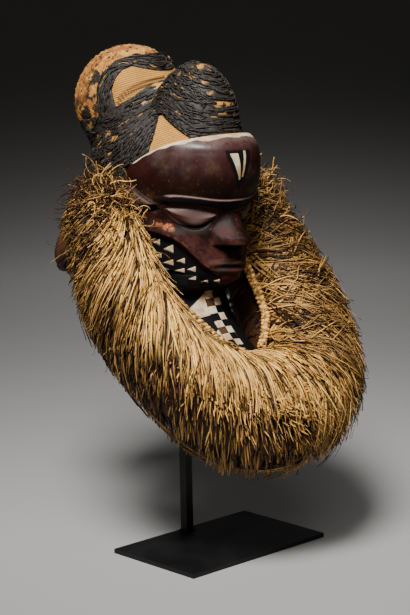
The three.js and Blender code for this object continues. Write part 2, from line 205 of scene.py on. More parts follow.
FRINGE_KINDS = {
    "fringe_front_a": FringeKind(
        2250, 8, (0.12, 0.88), (0.88, 1.3), (75, 130), (1.8, 5.4), (1.6, 1.78), tuft=6, gather=0.4,
    ),
    "fringe_front_b": FringeKind(
        2250, 8, (0.12, 0.88), (0.9, 1.42), (60, 115), (1.4, 4.6), (1.54, 1.76), lift=(0.02, 0.11),
        kinks=0.16,
    ),
    "fringe_short": FringeKind(
        2300, 6, (0.09, 0.91), (1.1, 1.66), (36, 70), (1.8, 5.0), (1.58, 1.78), depth=(0.86, 0.95),
        lift=(0.05, 0.15), tone=0.95, root=0.7, tuft=4,
    ),
    "fringe_ends": FringeKind(
        6300, 5, (0.02, 0.98), (1.56, 2.4), (14, 31), (1.5, 3.8), depth=(0.8, 0.89), lift=(0.15, 0.3),
        tone=1.15, root=0.35, kinks=0.3, tuft=3, gather=0.2, lean=1.3,
    ),
    "fringe_back": FringeKind(
        800, 7, (0.01, 0.99), (0.2, 0.95), (80, 140), (1.6, 4.2), lift=(0.0, 0.1), tone=0.55, root=0.8,
        kinks=0.1,
    ),
    "fringe_fly": FringeKind(
        1200, 6, (0.08, 0.92), (1.1, 1.8), (50, 100), (1.0, 2.8), (1.7, 1.85), depth=(0.88, 0.97),
        lift=(0.08, 0.27), tone=1.15, root=0.9, kinks=0.5, tuft=2, gather=0.0, lean=1.8,
    ),
    "fringe_cross": FringeKind(
        1000, 7, (0.52, 0.87), (1.0, 1.75), (55, 115), (1.3, 3.6), depth=(0.9, 0.98), lift=(0.06, 0.27),
        tone=1.05, root=0.7, kinks=0.5, tuft=4, gather=0.3, lean=1.5,
    ),
    "fringe_knots": FringeKind(
        420, 4, (0.17, 0.38), (1.08, 1.2), (7, 13), (3.0, 5.5), depth=(0.97, 0.98), lift=(0.02, 0.05),
        tone=0.75, root=0.5, kinks=0.3, tuft=2, gather=0.0, lean=3.5,
    ),
}
FRINGE_SEED = 11
# curly strands at the fringe's upper ends
TANGLE_STRANDS = 1600
TANGLE_POINTS = 10
TANGLE_WIDTH = (1.0, 2.8)

# plaited cords on the inner side of the fringe
CORD_START = 0.16
CORD_END = 0.4
CORD_ANGLE = math.pi * 0.98
CORD_STAND_OFF = 3.0
CORD_TURNS = 9
CORD_POINTS = 190
CORD_SWING = 4.2
CORD_CROSSING = 2.0

# floor: radius of the bend that turns it up all around, radii of its two inner rings, and its
# points around
FLOOR_BEND = 2600.0
FLOOR_INNER = (200, 2000)
FLOOR_AROUND = 96

# light from all around, and lights in metres: name, place, what it points at, size, power, and
# the spread of the beam in degrees
ROOM_LIGHT = 0.006
MASK_MIDDLE = (0, 0.02, 0.42)
LIGHTS = (
    ("key", (-1.35, -0.8, 2.35), MASK_MIDDLE, 0.8, 15.5, 56),
    ("wash", (-1.0, -1.5, 2.1), MASK_MIDDLE, 1.4, 7.0, 120),
    ("rim", (0.9, 0.7, 1.7), MASK_MIDDLE, 0.8, 0.6, 68),
    ("back", (1.7, 1.7, 2.0), (1.7, 1.7, 0.0), 1.2, 2.6, 80),
)
# camera: turn around the mask and rise in degrees, distance and target in metres, and the lens
# as picture heights
CAMERA_TURN = -45.0
CAMERA_RISE = 10.2
CAMERA_DISTANCE = 2.349
CAMERA_TARGET = (-0.0296, 0.0, 0.3291)
CAMERA_LENS = 1800.0 / 615.0


def lerp(a, b, t):
    return a + (b - a) * t


def smooth(low, high, value):
    """0 up to low, 1 from high on, and a soft step between them."""
    t = np.clip((value - low) / (high - low), 0, 1)
    return t * t * (3 - 2 * t)


def bump(value, centre, half):
    """1 at the centre, falling softly to 0 at half a width from it."""
    t = np.clip(np.abs(value - centre) / half, 0, 1)
    return (1 - t * t) ** 2


def between(x, keys, values):
    """Smooth curve through values at rising keys."""
    slopes = np.gradient(values, keys)
    i = np.clip(np.searchsorted(keys, x, side="right") - 1, 0, len(keys) - 2)
    wide = keys[i + 1] - keys[i]
    t = np.clip((x - keys[i]) / wide, 0, 1)
    rise = values[i + 1] - values[i]
    start, end = slopes[i] * wide, slopes[i + 1] * wide
    return values[i] + t * (start + t * (3 * rise - 2 * start - end + t * (start + end - 2 * rise)))


def painted(depth):
    """Half on the edge of a painted mark, 1 from 2 mm inside it and 0 from 2 mm outside it."""
    return np.clip(0.5 + 0.25 * depth, 0, 1)


def hairline(y):
    """Height of the cap's lower edge at each y."""
    d = np.minimum(y, FACE_BACK) + 36
    front = 558 - 0.1 * d - 0.0026 * d * d
    return front - 79 * smooth(81.5, 95, y) - 0.5 * np.maximum(y - 95, 0)


def curve(rows, t):
    """Smooth curve through rows of numbers, at t from 0 to 1."""
    last = len(rows) - 1
    more = np.vstack([2 * rows[0] - rows[1], rows, 2 * rows[-1] - rows[-2]])
    place = np.clip(np.asarray(t, dtype=float), 0, 1) * last
    i = np.minimum(np.floor(place).astype(int), last - 1)
    w = (place - i)[..., None]
    a, b, c, d = more[i], more[i + 1], more[i + 2], more[i + 3]
    return (b + 0.5 * w * (c - a) + w * w * (a - 2.5 * b + 2 * c - 0.5 * d)
            + w ** 3 * (1.5 * (b - c) + 0.5 * (d - a)))


def xyz(x, y, z):
    """Points from their three coordinates."""
    return np.stack(np.broadcast_arrays(x, y, z), axis=-1)


def least(*values):
    return np.minimum.reduce(values)


def most(*values):
    return np.maximum.reduce(values)


def unit(v):
    return v / np.maximum(np.linalg.norm(v, axis=-1, keepdims=True), 1e-9)


def curve_direction(rows, t):
    step = 0.001
    return unit(curve(rows, np.clip(t + step, 0, 1)) - curve(rows, np.clip(t - step, 0, 1)))


def in_outline(y, z, outline):
    """True where the points y, z lie inside a closed outline."""
    inside = np.zeros(np.shape(y), dtype=bool)
    for (y1, z1), (y2, z2) in zip(outline, np.roll(outline, -1, axis=0)):
        crosses = (z1 > z) != (z2 > z)
        at = y1 + (z - z1) * (y2 - y1) / (z2 - z1 if z2 != z1 else 1e-9)
        inside ^= crosses & (y < at)
    return inside


def line_distance(y, z, line):
    """Distance from the points y, z to a line through points."""
    best = np.full(np.shape(y), 1e9)
    for a, b in zip(line[:-1], line[1:]):
        run = b - a
        t = np.clip(((y - a[0]) * run[0] + (z - a[1]) * run[1]) / run.dot(run), 0, 1)
        best = np.minimum(best, np.hypot(y - a[0] - t * run[0], z - a[1] - t * run[1]))
    return best


def outline_distance(y, z, outline):
    return line_distance(y, z, np.vstack([outline, outline[:1]]))


def off_line(p, first, second, by_first, by_second):
    """Points moved along two directions by so much each."""
    return p + first * by_first[..., None] + second * by_second[..., None]


def in_mm(length):
    """A length from the settings in millimetres, free of the last digits of its storage."""
    return round(length / MM, 3)


def mesh_object(name, verts, faces, smooth_shade=True):
    """A mesh object from millimetre points, linked to the scene."""
    mesh = bpy.data.meshes.new(name)
    verts = np.asarray(verts, dtype=np.float64) * MM
    faces = np.asarray(faces, dtype=np.int32)
    mesh.vertices.add(len(verts))
    mesh.vertices.foreach_set("co", verts.astype(np.float32).ravel())
    size = faces.shape[1]
    mesh.loops.add(faces.size)
    mesh.loops.foreach_set("vertex_index", faces.ravel())
    mesh.polygons.add(len(faces))
    mesh.polygons.foreach_set("loop_start", np.arange(0, faces.size, size, dtype=np.int32))
    mesh.update(calc_edges=True)
    mesh.validate()
    obj = bpy.data.objects.new(name, mesh)
    bpy.context.scene.collection.objects.link(obj)
    if smooth_shade:
        mesh.shade_smooth()
    return obj


def ring_faces(rings, around):
    """Quads between rings of points that each close on themselves."""
    r = np.arange(rings - 1)[:, None] * around
    i = np.arange(around)[None, :]
    j = (i + 1) % around
    return np.stack([r + i, r + j, r + around + j, r + around + i], axis=-1).reshape(-1, 4)


def triangles(quads):
    return np.concatenate([quads[:, [0, 1, 2]], quads[:, [0, 2, 3]]])


def facing_out(verts, tris):
    """A closed mesh, with its triangles turned over if they face its inside."""
    p = verts[tris]
    volume = np.einsum("ij,ij->i", p[:, 0], np.cross(p[:, 1], p[:, 2])).sum()
    return verts, tris[:, ::-1] if volume < 0 else tris


def ring_body(rings):
    """Closed triangle mesh from an array of rings, with a fan on each end."""
    count, around = rings.shape[:2]
    verts = rings.reshape(-1, 3)
    tris = [triangles(ring_faces(count, around))]
    i = np.arange(around)
    j = (i + 1) % around
    for ring, a, b in ((0, j, i), (count - 1, i, j)):
        centre = np.full(around, len(verts))
        verts = np.vstack([verts, rings[ring].mean(axis=0)])
        tris.append(np.stack([centre, ring * around + a, ring * around + b], axis=1))
    return facing_out(verts, np.concatenate(tris))


def combine(target, tool, operation):
    """Boolean of two closed objects; the tool is removed afterwards."""
    change = target.modifiers.new("combine", "BOOLEAN")
    change.operation = operation
    change.object = tool
    change.solver = "MANIFOLD"
    evaluated = target.evaluated_get(bpy.context.evaluated_depsgraph_get())
    mesh = bpy.data.meshes.new_from_object(evaluated)
    old = target.data
    target.modifiers.clear()
    target.data = mesh
    mesh.name = old.name
    bpy.data.meshes.remove(old)
    bpy.data.objects.remove(tool)
    if len(mesh.polygons) == 0:
        raise RuntimeError("the boolean of " + target.name + " left nothing")


def coat(obj, material):
    """Smooth shading and one material for a piece made by booleans."""
    obj.data.shade_smooth()
    obj.data.materials.clear()
    obj.data.materials.append(material)


def points_of(obj):
    co = np.empty(len(obj.data.vertices) * 3, dtype=np.float32)
    obj.data.vertices.foreach_get("co", co)
    return co.reshape(-1, 3).astype(np.float64) / MM


def add_layer(obj, name, values):
    """A number per point that the material reads."""
    layer = obj.data.attributes.new(name, "FLOAT", "POINT")
    layer.data.foreach_set("value", np.asarray(values, dtype=np.float32))


# face

def face_row(z):
    """Front y, half width and pointedness of the face at height z."""
    return [between(z, FACE_ROWS[:, 0], FACE_ROWS[:, k]) for k in (1, 2, 3)]


def face_oval(s, z, inset=0.0):
    """x and y around the face at height z, from its right side (s = -1) to its left side (s = 1)."""
    front, half, point = face_row(z)
    angle = s * math.pi / 2
    depth = np.cos(angle) ** point
    return (half - inset) * np.sin(angle), FACE_BACK - (FACE_BACK - front - inset) * depth


def brow_middle(side):
    """Height of the middle of the brow, at distance side from the face's middle."""
    return 464 + 9.8 * smooth(5, 82, side)


def ridge_height(side):
    return between(side, CHEEK_RIDGE[:, 0], CHEEK_RIDGE[:, 1])


def jaw_cells(x, y, z):
    """How deep a point lies inside one of the triangles on the jaw."""
    around = (np.abs(x) + y) / math.sqrt(2)
    depth = np.full(np.shape(x), -1.0)
    for edge, top, long, wide in JAW_MARKS:
        down = top - z
        away = around - edge
        point = 0.55 * long
        above = down - point * away / wide
        below = long - (long - point) * away / wide - down
        depth = np.maximum(depth, least(above, below, away))
    return depth


def lid_edge(side, edge):
    """Height of an edge of the eyelid."""
    turn, height, bend = edge
    return height + bend * (side - turn) ** 2


def brow_half(side):
    return lerp(6.8, 4.8, smooth(0, 45, side)) - 2.5 * smooth(74, 86, side)


def face_relief(x, y, z):
    """How far the carved features stand out from the plain oval of the face."""
    side = np.abs(x)
    # brow: a band with a crisp upper edge
    half = brow_half(side)
    off = z - brow_middle(side)
    fade = 1 - smooth(74, 86, side)
    out = 4.6 * smooth(-half - 3, -half + 2.5, off) * (1 - smooth(half - 1.5, half + 1, off)) * fade
    # eye socket, heavy lid and the slit under it
    out = out - 6.5 * bump(side, 50, 36) * bump(z, 446, 22)
    slit_z = lid_edge(side, LID_LOWER)
    inside = np.minimum(z - slit_z, lid_edge(side, LID_UPPER) - z)
    out = out + 7.5 * (1 - (1 - np.clip(inside / 11.5, 0, 1)) ** 2) ** 0.7
    out = out - 4.2 * bump(side, LID_LOWER[0], 24) * bump(z, slit_z - 2.2, 3.8)
    # nose: bridge, broad wings and a flat underside
    high = 27 * np.clip((464 - z) / 42, 0, 1) ** 1.4 * smooth(409.5, 414, z)
    half = lerp(16, 29, smooth(456, 424, z))
    across = np.clip(side / half, 0, 1)
    out = out + high * np.cos(across * math.pi / 2) ** lerp(1.3, 0.7, smooth(444, 420, z))
    out = out + 2.5 * bump(side, 20, 9) * bump(z, 420, 9)
    out = out - 1.6 * bump(side, 29, 5) * bump(z, 420, 11)
    # lips, with the line between them
    mouth = np.sqrt(bump(side, 0, 33))
    droop = 0.0012 * side * side
    out = out + 8.5 * mouth * bump(z, 388 - droop, 6.5)
    out = out + 8.0 * mouth * bump(z, 378.5 - droop, 6.5)
    out = out - 1.2 * bump(side, 0, 6) * bump(z, 400, 6)
    # cheek ridge and the plane of the jaw under it
    below = z - ridge_height(side)
    away = smooth(18, 32, side)
    out = out + 3.6 * away * smooth(-1.5, 1.5, below) * (1 - smooth(3, 20, below))
    out = out - 4.0 * away * (1 - smooth(-1.5, 1.5, below))
    out = out + 1.1 * smooth(0, 0.9, jaw_cells(x, y, z))
    # chin
    out = out + 4 * bump(side, 0, 26) * bump(z, 368, 11)
    return out


def ear_edge(y):
    """Height of the ear's upper edge."""
    return 465 + 25 * (y - 33) / 41


def ear_relief(y, z):
    """The ear: a shelf that stands out from the side of the face over a hollow."""
    length = smooth(30, 42, y) * (1 - smooth(72, 79, y))
    shelf = smooth(464.5, 466.5, z) * (1 - smooth(-4, 2, z - ear_edge(y)))
    return 6.5 * shelf * length - 5 * smooth(31, 44, y) * bump(z, 460, 6.5) * (1 - smooth(76, 80, y))


def face_points(s, z):
    """Points of the carved face. Near its middle the features stand out straight forward."""
    x, y = face_oval(s, z)
    step = np.where(s < 0, 0.01, -0.01)
    x2, y2 = face_oval(s + step, z)
    run = np.hypot(x - x2, y - y2)
    nx = np.abs((y - y2) / run) * np.where(s < 0, -1, 1)
    ny = -np.abs((x - x2) / run)
    high = face_relief(x, y, z) + np.where(np.abs(x) > 66, ear_relief(y, z), 0)
    forward = np.where(z < 470, 1 - smooth(22, 34, np.abs(x)), 0)
    dx = lerp(nx, 0, forward)
    dy = lerp(ny, -1, forward)
    return xyz(x + dx * high, np.minimum(y + dy * high, FACE_BACK), z)


def face_outer_body(columns, rows):
    t = np.linspace(-1, 1, columns)
    s = np.sign(t) * np.abs(t) ** 1.18
    low = 355 + 41 * np.abs(np.sin(s * math.pi / 2)) ** 1.7
    v = np.linspace(0, 1, rows)[:, None] ** 1.25
    z = low[None, :] + (FACE_TOP - low[None, :]) * v
    s = np.broadcast_to(s[None, :], z.shape)
    return ring_body(face_points(s, z))


def face_section(z, at, inset, back=0.0):
    """Ring at height z with the face's cross section at another height, closed behind it."""
    x, y = face_oval(np.linspace(-1, 1, 25), at, inset)
    behind = FACE_BACK + 40
    return np.vstack([xyz(x, y + back, z), [[x[-1], behind, z], [x[0], behind, z]]])


def face_hollow_body():
    rings = [face_section(z, np.clip(z, 366, 560), FACE_WALL, 0.9 * max(0, 400 - z)) for z in HOLLOW_LEVELS]
    return ring_body(np.array(rings))


def face_space(clear):
    """The room of the face and its hollow, kept free of the fringe."""
    rings = [face_section(z, max(z, 352.0), -clear - 6 * smooth(425, 450, z)) for z in CLEAR_LEVELS]
    return ring_body(np.array(rings))


def under_hairline_body(shift):
    """A block, wider and deeper than the mask, that fills the room below the cap's lower edge."""
    rings = []
    for y in [-240, *range(-60, 81, 7), *np.arange(81.5, 96, 1.5), 100, 400]:
        top = hairline(max(y, -60)) + shift
        rings.append([[-320, y, 100], [320, y, 100], [320, y, top], [-320, y, top]])
    return ring_body(np.array(rings, float))


def outline_body(outline):
    """A straight bar across the whole width with a side view outline."""
    n = len(outline)
    mesh = bmesh.new()
    rows = []
    for x in (-200.0, 200.0):
        rows.append([mesh.verts.new((x, y, z)) for y, z in outline])
    mesh.faces.new(rows[0])
    mesh.faces.new(rows[1])
    for i in range(n):
        j = (i + 1) % n
        mesh.faces.new((rows[0][i], rows[0][j], rows[1][j], rows[1][i]))
    bmesh.ops.recalc_face_normals(mesh, faces=mesh.faces)
    bmesh.ops.triangulate(mesh, faces=mesh.faces)
    mesh.verts.index_update()
    verts = np.array([v.co[:] for v in mesh.verts])
    faces = np.array([[v.index for v in f.verts] for f in mesh.faces])
    mesh.free()
    return verts, faces


def neck_body():
    """The neck behind the beard board, blunt in front."""
    rings = []
    side = np.linspace(-1, 1, 81)
    for z in np.linspace(NECK_ROWS[0, 0], NECK_ROWS[-1, 0], 36):
        front, back, half = [np.interp(z, NECK_ROWS[:, 0], NECK_ROWS[:, k]) for k in (1, 2, 3)]
        ring = xyz(half * side, front + 14 * np.abs(side), z)
        rings.append(np.vstack([ring, [[half, back, z], [-half, back, z]]]))
    return ring_body(np.array(rings))


def beard_checks(x, length):
    """How deep points lie inside the white and the brown marks of the board, at distance x from
    its middle and so far down its length. Below 0 is outside them."""
    side = np.abs(x)
    across = x / BEARD_COLUMN
    down = (length - 16) / BEARD_ROW
    to_side = np.abs(across - np.round(across)) * BEARD_COLUMN
    to_row = np.abs(down - np.round(down)) * BEARD_ROW
    odd = (np.floor(across) + np.floor(down)) % 2 == 1
    inside = np.minimum(to_side, to_row) - 0.2
    column = np.minimum(BEARD_COLUMN - side, length - 16)
    white = np.minimum(np.where(odd, inside, -inside - 0.4), column)
    rusty = ~odd & (np.floor(down) % 4 == 1)
    brown = np.minimum(np.where(rusty, inside, -2.0), column)
    # white triangles on the right side, which widen down and away from the column
    run = (length - 18) - np.floor((length - 18) / 52) * 52
    away = -x - BEARD_COLUMN
    field = np.minimum(np.minimum(away - 0.7, 30 - run), run - away * 0.66)
    return np.maximum(white, np.minimum(field, length - 18)), brown


def beard_frame(t):
    """Middle, direction and normal of the board's upper face in y, z."""
    slope = curve_direction(BEARD_PATH, t)
    return curve(BEARD_PATH, t), slope, np.stack([slope[..., 1], -slope[..., 0]], axis=-1)


def beard_length():
    """Distance down the board at each of its steps."""
    points = curve(BEARD_PATH, BEARD_STEPS)
    return np.concatenate([[0], np.cumsum(np.linalg.norm(np.diff(points, axis=0), axis=1))])


def beard_body(columns, rows):
    rings = []
    upper = np.linspace(-1, 1, columns)
    lower = np.linspace(1, -1, 9)
    lengths = beard_length()
    for t in np.linspace(0, 1, rows):
        middle, _, normal = beard_frame(t)
        length = np.interp(t, BEARD_STEPS, lengths)
        half = lerp(BEARD_HALF_TOP, BEARD_HALF_END, t) - 10 * smooth(0.85, 1, t)
        x = np.concatenate([half * upper, half * lower * 0.94])
        raised = 0.9 * smooth(-0.3, 0.5, beard_checks(half * upper, length)[0])
        under = -BEARD_THICKNESS - BEARD_RISE * lower ** 2
        lift = np.concatenate([raised - BEARD_RISE * upper ** 2, under])
        rings.append(xyz(x, middle[0] + normal[0] * lift, middle[1] + normal[1] * lift))
    return ring_body(np.array(rings))


def beard_drop(x):
    """How far the board's upper face lies below its middle line."""
    return BEARD_RISE * np.clip(np.abs(x) / 47, 0, 1) ** 2


def along_beard(y, z, x):
    """Distance down the board of points on its upper face, and how far they lie from that face."""
    drop = beard_drop(x)
    best = np.full(np.shape(y), 1e9)
    length = np.zeros(np.shape(y))
    for (my, mz), (sy, sz), (ny, nz), down in zip(*beard_frame(BEARD_STEPS), beard_length()):
        away = np.hypot(y - my + ny * drop, z - mz + nz * drop)
        nearer = away < best
        best = np.where(nearer, away, best)
        length = np.where(nearer, down + ((y - my) * sy + (z - mz) * sz), length)
    return length, best


def face_paint(p):
    """How much of each paint lies on each point of the carving. Marks are depths in millimetres
    inside their outlines."""
    x, y, z = p.T
    side = np.abs(x)
    length, from_board = along_beard(y, z, x)
    board = (from_board < 3.5) & (length > 8) & (z < 352)
    neck = ~board & (z < 358) & (y > -12 + 1.2 * (358 - z)) | (z < 340) & ~board
    face = ~board & ~neck
    # off-white line along the hairline, a pale painted highlight under it and painted shade on the lower
    # forehead
    drop = hairline(y) - z
    width = lerp(6.5, 2.2, smooth(-40, 55, y)) * (1 + 0.2 * np.sin(0.31 * y) + 0.1 * np.sin(0.17 * x + 1))
    hair = (1 - smooth(0, 2 * width, drop)) * (1 - smooth(62, 84, y))
    hairline_highlight = (1 - smooth(2, 28, drop)) * (1 - smooth(10, 60, y))
    deep = smooth(520, 486, z) * smooth(462, 468, z)
    # brow band, with a thin pale painted highlight along its upper edge
    off = z - brow_middle(side)
    brow = np.minimum(brow_half(side) - 0.6 - np.abs(off + 0.3), 84 - side)
    edge = np.minimum(1.1 - np.abs(off - brow_half(side)), 80 - side)
    # V on the forehead: black ground with two off-white strokes
    up = np.clip((z - 487) / 40, 0, 1)
    top = np.clip((z - 499) / 33, 0, 1)
    front = np.where((y < 0) & face, 0.0, -9.0)
    ground = least(x - lerp(-9, -28, up), lerp(-4, 11, up) - x, z - 486, 536 - z)
    stroke = least(x - lerp(-9.5, -23, top), lerp(-7, -11, top) - x, z - 498, 532 - z)
    second = least(lerp(1.1, 2.1, top) - np.abs(x - lerp(-4.5, 0.0, top)), z - 501, 535 - z)
    # jaw: black below the cheek ridge, off-white triangles
    below = ridge_height(side) - z
    jaw = np.minimum(below - 1.5, side - 20 + 1.5 * np.maximum(y, -30) / 10)
    chin = np.minimum(363 - z, y + 10)
    slit_z = lid_edge(side, LID_LOWER)
    # painted shade: a black crescent in the carved slit under each eyelid
    slit = 3.2 * np.sqrt(bump(side, LID_LOWER[0], 25)) - 0.9 - np.abs(z - slit_z + 2.2)
    # painted shade: black on the nose's underside
    nose_shadow = least(26 - side, 413 - z, z - 402 - 8 * (side / 26) ** 2) * 0.6
    # painted shade: black in the hollow under the ear's shelf; the shelf's top face gets a painted
    # highlight
    ear_shadow = least(4.5 * np.sqrt(bump(y, 54, 24)) - np.abs(z - 460), side - 66) * 0.6
    ear = least(z - 465, ear_edge(y) - z, y - 34, side - 66)
    # eyelids: a paler paint, partly their own colour and partly a painted highlight where they catch the
    # light; lips: a painted highlight
    lid = np.minimum(z - slit_z, lid_edge(side, LID_UPPER) - z)
    lips = bump(side, 0, 30) * np.maximum(bump(z, 388, 6), bump(z, 378, 6))
    # black paint, with the painted shade of the eye slits, the nose's underside and the ear hollows
    black = painted(most(brow, 0.4 * ground + front, jaw, chin, slit, nose_shadow, ear_shadow))
    white = painted(most(stroke + front, second + front, jaw_cells(x, y, z)))
    white = np.maximum(white, hair) * face
    white_marks, brown_marks = beard_checks(x, length)
    # paint worn away beside the right ear and along the cheek ridge
    patch = np.exp(-(((x + 69) / 5) ** 2 + ((z - 436) / 6) ** 2))
    patch = np.maximum(patch, 0.5 * np.exp(-(((x + 76) / 6) ** 2 + ((z - 441) / 6) ** 2)))
    on_ridge = bump(below, -2, 3.5) * smooth(24, 34, side) * (1 - smooth(74, 84, side))
    return {
        "paint_black": np.where(board | neck, 1.0, black),
        "paint_white": np.where(board, painted(white_marks), white),
        "paint_brown": painted(brown_marks) * board,
        # paint of the eyelids together with the painted highlights on the brow's edge, the lips and the
        # ear's shelf
        "paint_lids_and_highlights": most(painted(lid), painted(edge), lips * 0.35, painted(ear) * 0.5) * face,
        "paint_worn": np.maximum(patch, 0.3 * on_ridge) * face,
        "paint_lower": (1 - smooth(452, 470, z)) * face,
        "painted_forehead_shade": deep * face,
        "painted_hairline_highlight": hairline_highlight * face,
    }


# cap

def lobe_measure(p, inset):
    """Above 0 inside the cap, below 0 outside it."""
    total = np.zeros(p.shape[:-1])
    for centre, radii in CAP_LOBES:
        away = np.linalg.norm((p - np.array(centre)) / (np.array(radii, dtype=float) - inset), axis=-1)
        total += np.exp(-CAP_BLEND * (away - 1))
    return np.log(np.maximum(total, 1e-30))


def cap_normal(p):
    """Direction straight out of the cap's smooth surface."""
    gradient = np.zeros(p.shape)
    for k in range(3):
        step = np.zeros(3)
        step[k] = 0.5
        gradient[..., k] = lobe_measure(p - step, 0) - lobe_measure(p + step, 0)
    return unit(gradient)


def cap_point(directions, inset=0.0):
    """Points on the cap's surface in the given directions from its centre."""
    near = np.full(directions.shape[:-1], 10.0)
    far = np.full(directions.shape[:-1], 320.0)
    for _ in range(26):
        middle = (near + far) / 2
        inside = lobe_measure(CAP_CENTRE + directions * middle[..., None], inset) > 0
        near = np.where(inside, middle, near)
        far = np.where(inside, far, middle)
    return CAP_CENTRE + directions * near[..., None]


def cap_directions(turn, up):
    return xyz(np.sin(turn) * np.cos(up), -np.cos(turn) * np.cos(up), np.sin(up))


def cap_grid(around, levels, inset=0.0):
    """Rings of points on the cap, or so far inside it, from below its edge to its top."""
    up = np.radians(np.linspace(-60, 86, levels))[:, None]
    turn = np.linspace(0, 2 * math.pi, around, endpoint=False)[None, :]
    turn, up = np.broadcast_arrays(turn, up)
    return cap_point(cap_directions(turn, up), inset)


def in_fibre(p):
    """True where black fibre covers the cap."""
    y, z = p[..., 1], p[..., 2]
    covered = in_outline(y, z, FIBRE_OUTLINE) & ~in_outline(y, z, ROUND_PANEL)
    return covered & ~in_outline(y, z, FRONT_PANEL) & (z > hairline(y) + 1.5)


def worn_spots(p):
    """1 in the places where the black fibre has worn away."""
    spots = np.zeros(p.shape[:-1])
    for y, z, size in WORN_SPOTS:
        spots = np.maximum(spots, 1 - np.hypot(p[..., 1] - y, p[..., 2] - z) / size)
    return np.clip(spots * 2, 0, 1)


def cap_relief(p):
    """How far the folds and the lumpy rim stand out from the cap's smooth surface."""
    y, z = p[..., 1], p[..., 2]
    out = np.zeros(y.shape)
    # two folds across the round panel
    for shift in FOLD_SHIFTS:
        away = line_distance(y, z, FOLD_LINE - np.array([0, shift]))
        out = out - 1.8 * bump(away, 0, 2.4) + 0.9 * bump(away, 3.4, 2)
    rim = smooth(0, 6, outline_distance(y, z, FIBRE_OUTLINE)) * ~in_outline(y, z, FIBRE_OUTLINE)
    lumps = np.sin(y * 0.9 + 2 * np.sin(z * 0.5)) * np.sin(z * 0.8 + 2 * np.sin(p[..., 0] * 0.6))
    return out + rim * (1.2 + 1.3 * lumps)


# strands

def strand_body(paths, normals, widths, heights, roll=0.0):
    """Closed three-sided strips along paths, all in one mesh. The arrays run over strands and points."""
    count, points = paths.shape[:2]
    along = unit(np.gradient(paths, axis=1))
    side = unit(np.cross(along, normals))
    roll = np.broadcast_to(roll, (count, points))[..., None]
    side = side * np.cos(roll) + np.cross(side, along) * np.sin(roll)
    up = np.cross(side, along)
    corners = ((-0.5, 0.0), (0.5, 0.0), (0.0, 1.0))
    rings = np.stack([off_line(paths, side, up, a * widths, b * heights) for a, b in corners], axis=2)
    last = (points - 1) * 3
    one = np.concatenate([triangles(ring_faces(points, 3)), [[0, 2, 1], [last, last + 1, last + 2]]])
    tris = (one[None] + (np.arange(count) * points * 3)[:, None, None]).reshape(-1, 3)
    return facing_out(rings.reshape(-1, 3), tris)


def fibre_flow(p):
    """Side view direction in which the black fibre is laid, as unit y, z."""
    total = np.zeros(p.shape[:-1] + (2,))
    for y, z, fy, fz in FIBRE_FLOW:
        weight = 1 / ((p[..., 1] - y) ** 2 + (p[..., 2] - z) ** 2 + 20) ** 1.5
        total += weight[..., None] * np.array([fy, fz]) / math.hypot(fy, fz)
    return unit(total)


def fibre_strands(count, points, step, rng):
    """Paths and normals of strands laid over the cap."""
    starts = np.zeros((0, 3))
    while len(starts) < count:
        turn = rng.uniform(0, 2 * math.pi, count * 3)
        up = np.arcsin(rng.uniform(-0.75, 0.999, count * 3))
        p = cap_point(cap_directions(turn, up))
        keep = in_fibre(p) & (worn_spots(p) < rng.uniform(0.0, 0.8, len(p)))
        starts = np.vstack([starts, p[keep]])
    p = starts[:count]
    path, normals = [], []
    lift = rng.uniform(1.2, 3.6, count)
    moving = np.ones(count, dtype=bool)
    lean = rng.normal(0, 0.16, count)
    wave = rng.uniform(0, 2 * math.pi, count)
    for k in range(points):
        turn_off = lean + 0.3 * np.sin(wave + 1.3 * k)
        n = cap_normal(p)
        path.append(p + n * lift[:, None])
        normals.append(n)
        flow = fibre_flow(p)
        cos, sin = np.cos(turn_off), np.sin(turn_off)
        fy = flow[:, 0] * cos - flow[:, 1] * sin
        fz = flow[:, 0] * sin + flow[:, 1] * cos
        axis = xyz(0.0, fz, -fy)
        along = unit(np.cross(axis, n))
        ahead = cap_point(unit(p + along * step - CAP_CENTRE))
        moving = moving & in_fibre(ahead) & (worn_spots(ahead) < 0.7)
        size = np.where(moving, 1.0, 0.06)[:, None]
        p = cap_point(unit(p + along * step * size - CAP_CENTRE))
    return np.stack(path, axis=1), np.stack(normals, axis=1)


def ruff_station(t):
    """Middle, directions and half sizes of the fringe at t, from one temple (0) to the other (1)."""
    row = curve(RUFF_ROWS, t)
    p = row[..., :3]
    along = curve_direction(RUFF_ROWS[:, :3], t)
    outward = p * np.array([1, 0.6, 0.8]) - np.array([0, 18, 336])
    outward = unit(outward - along * np.sum(outward * along, axis=-1, keepdims=True))
    back = unit(np.cross(along, outward))
    end = np.minimum(1, np.sqrt(1 - np.clip(np.abs(t - 0.5) * 2, 0, 1) ** 8) + 0.12)
    return p, along, outward, back, row[..., 3] * end, row[..., 4] * end


def ruff_point(t, angle, reach=1.0):
    """Points and normals around the fringe; reach 1 is its surface."""
    p, _, outward, back, across, deep = ruff_station(t)
    inner = np.mod(angle, 2 * math.pi)
    root = 1 + ROOT_REACH * bump(inner, ROOT_ANGLE, ROOT_SPREAD) * bump(np.abs(t - 0.5), 0.24, 0.22)
    root = root - BOARD_ROOM * bump(inner, 1.2 * math.pi, 0.42 * math.pi) * bump(t, 0.3, 0.13)
    cos, sin = np.cos(angle), np.sin(angle)
    place = off_line(p, outward, back, cos * across * reach * root, sin * deep * reach * root)
    return place, unit(off_line(0, outward, back, cos / across, sin / deep))


def ruff_core():
    """The dark body under the strands: packed fibre, dark as painted shade in the gaps between them."""
    t = np.linspace(0, 1, 110)[:, None]
    angle = np.linspace(0, 2 * math.pi, 64, endpoint=False)[None, :]
    t, angle = np.broadcast_arrays(t, angle)
    tuft = 0.02 * np.sin(t * 260 + 3 * np.sin(angle * 5)) + 0.015 * np.sin(angle * 17 + 40 * t)
    return ruff_point(t, angle, CORE_REACH + tuft)[0]


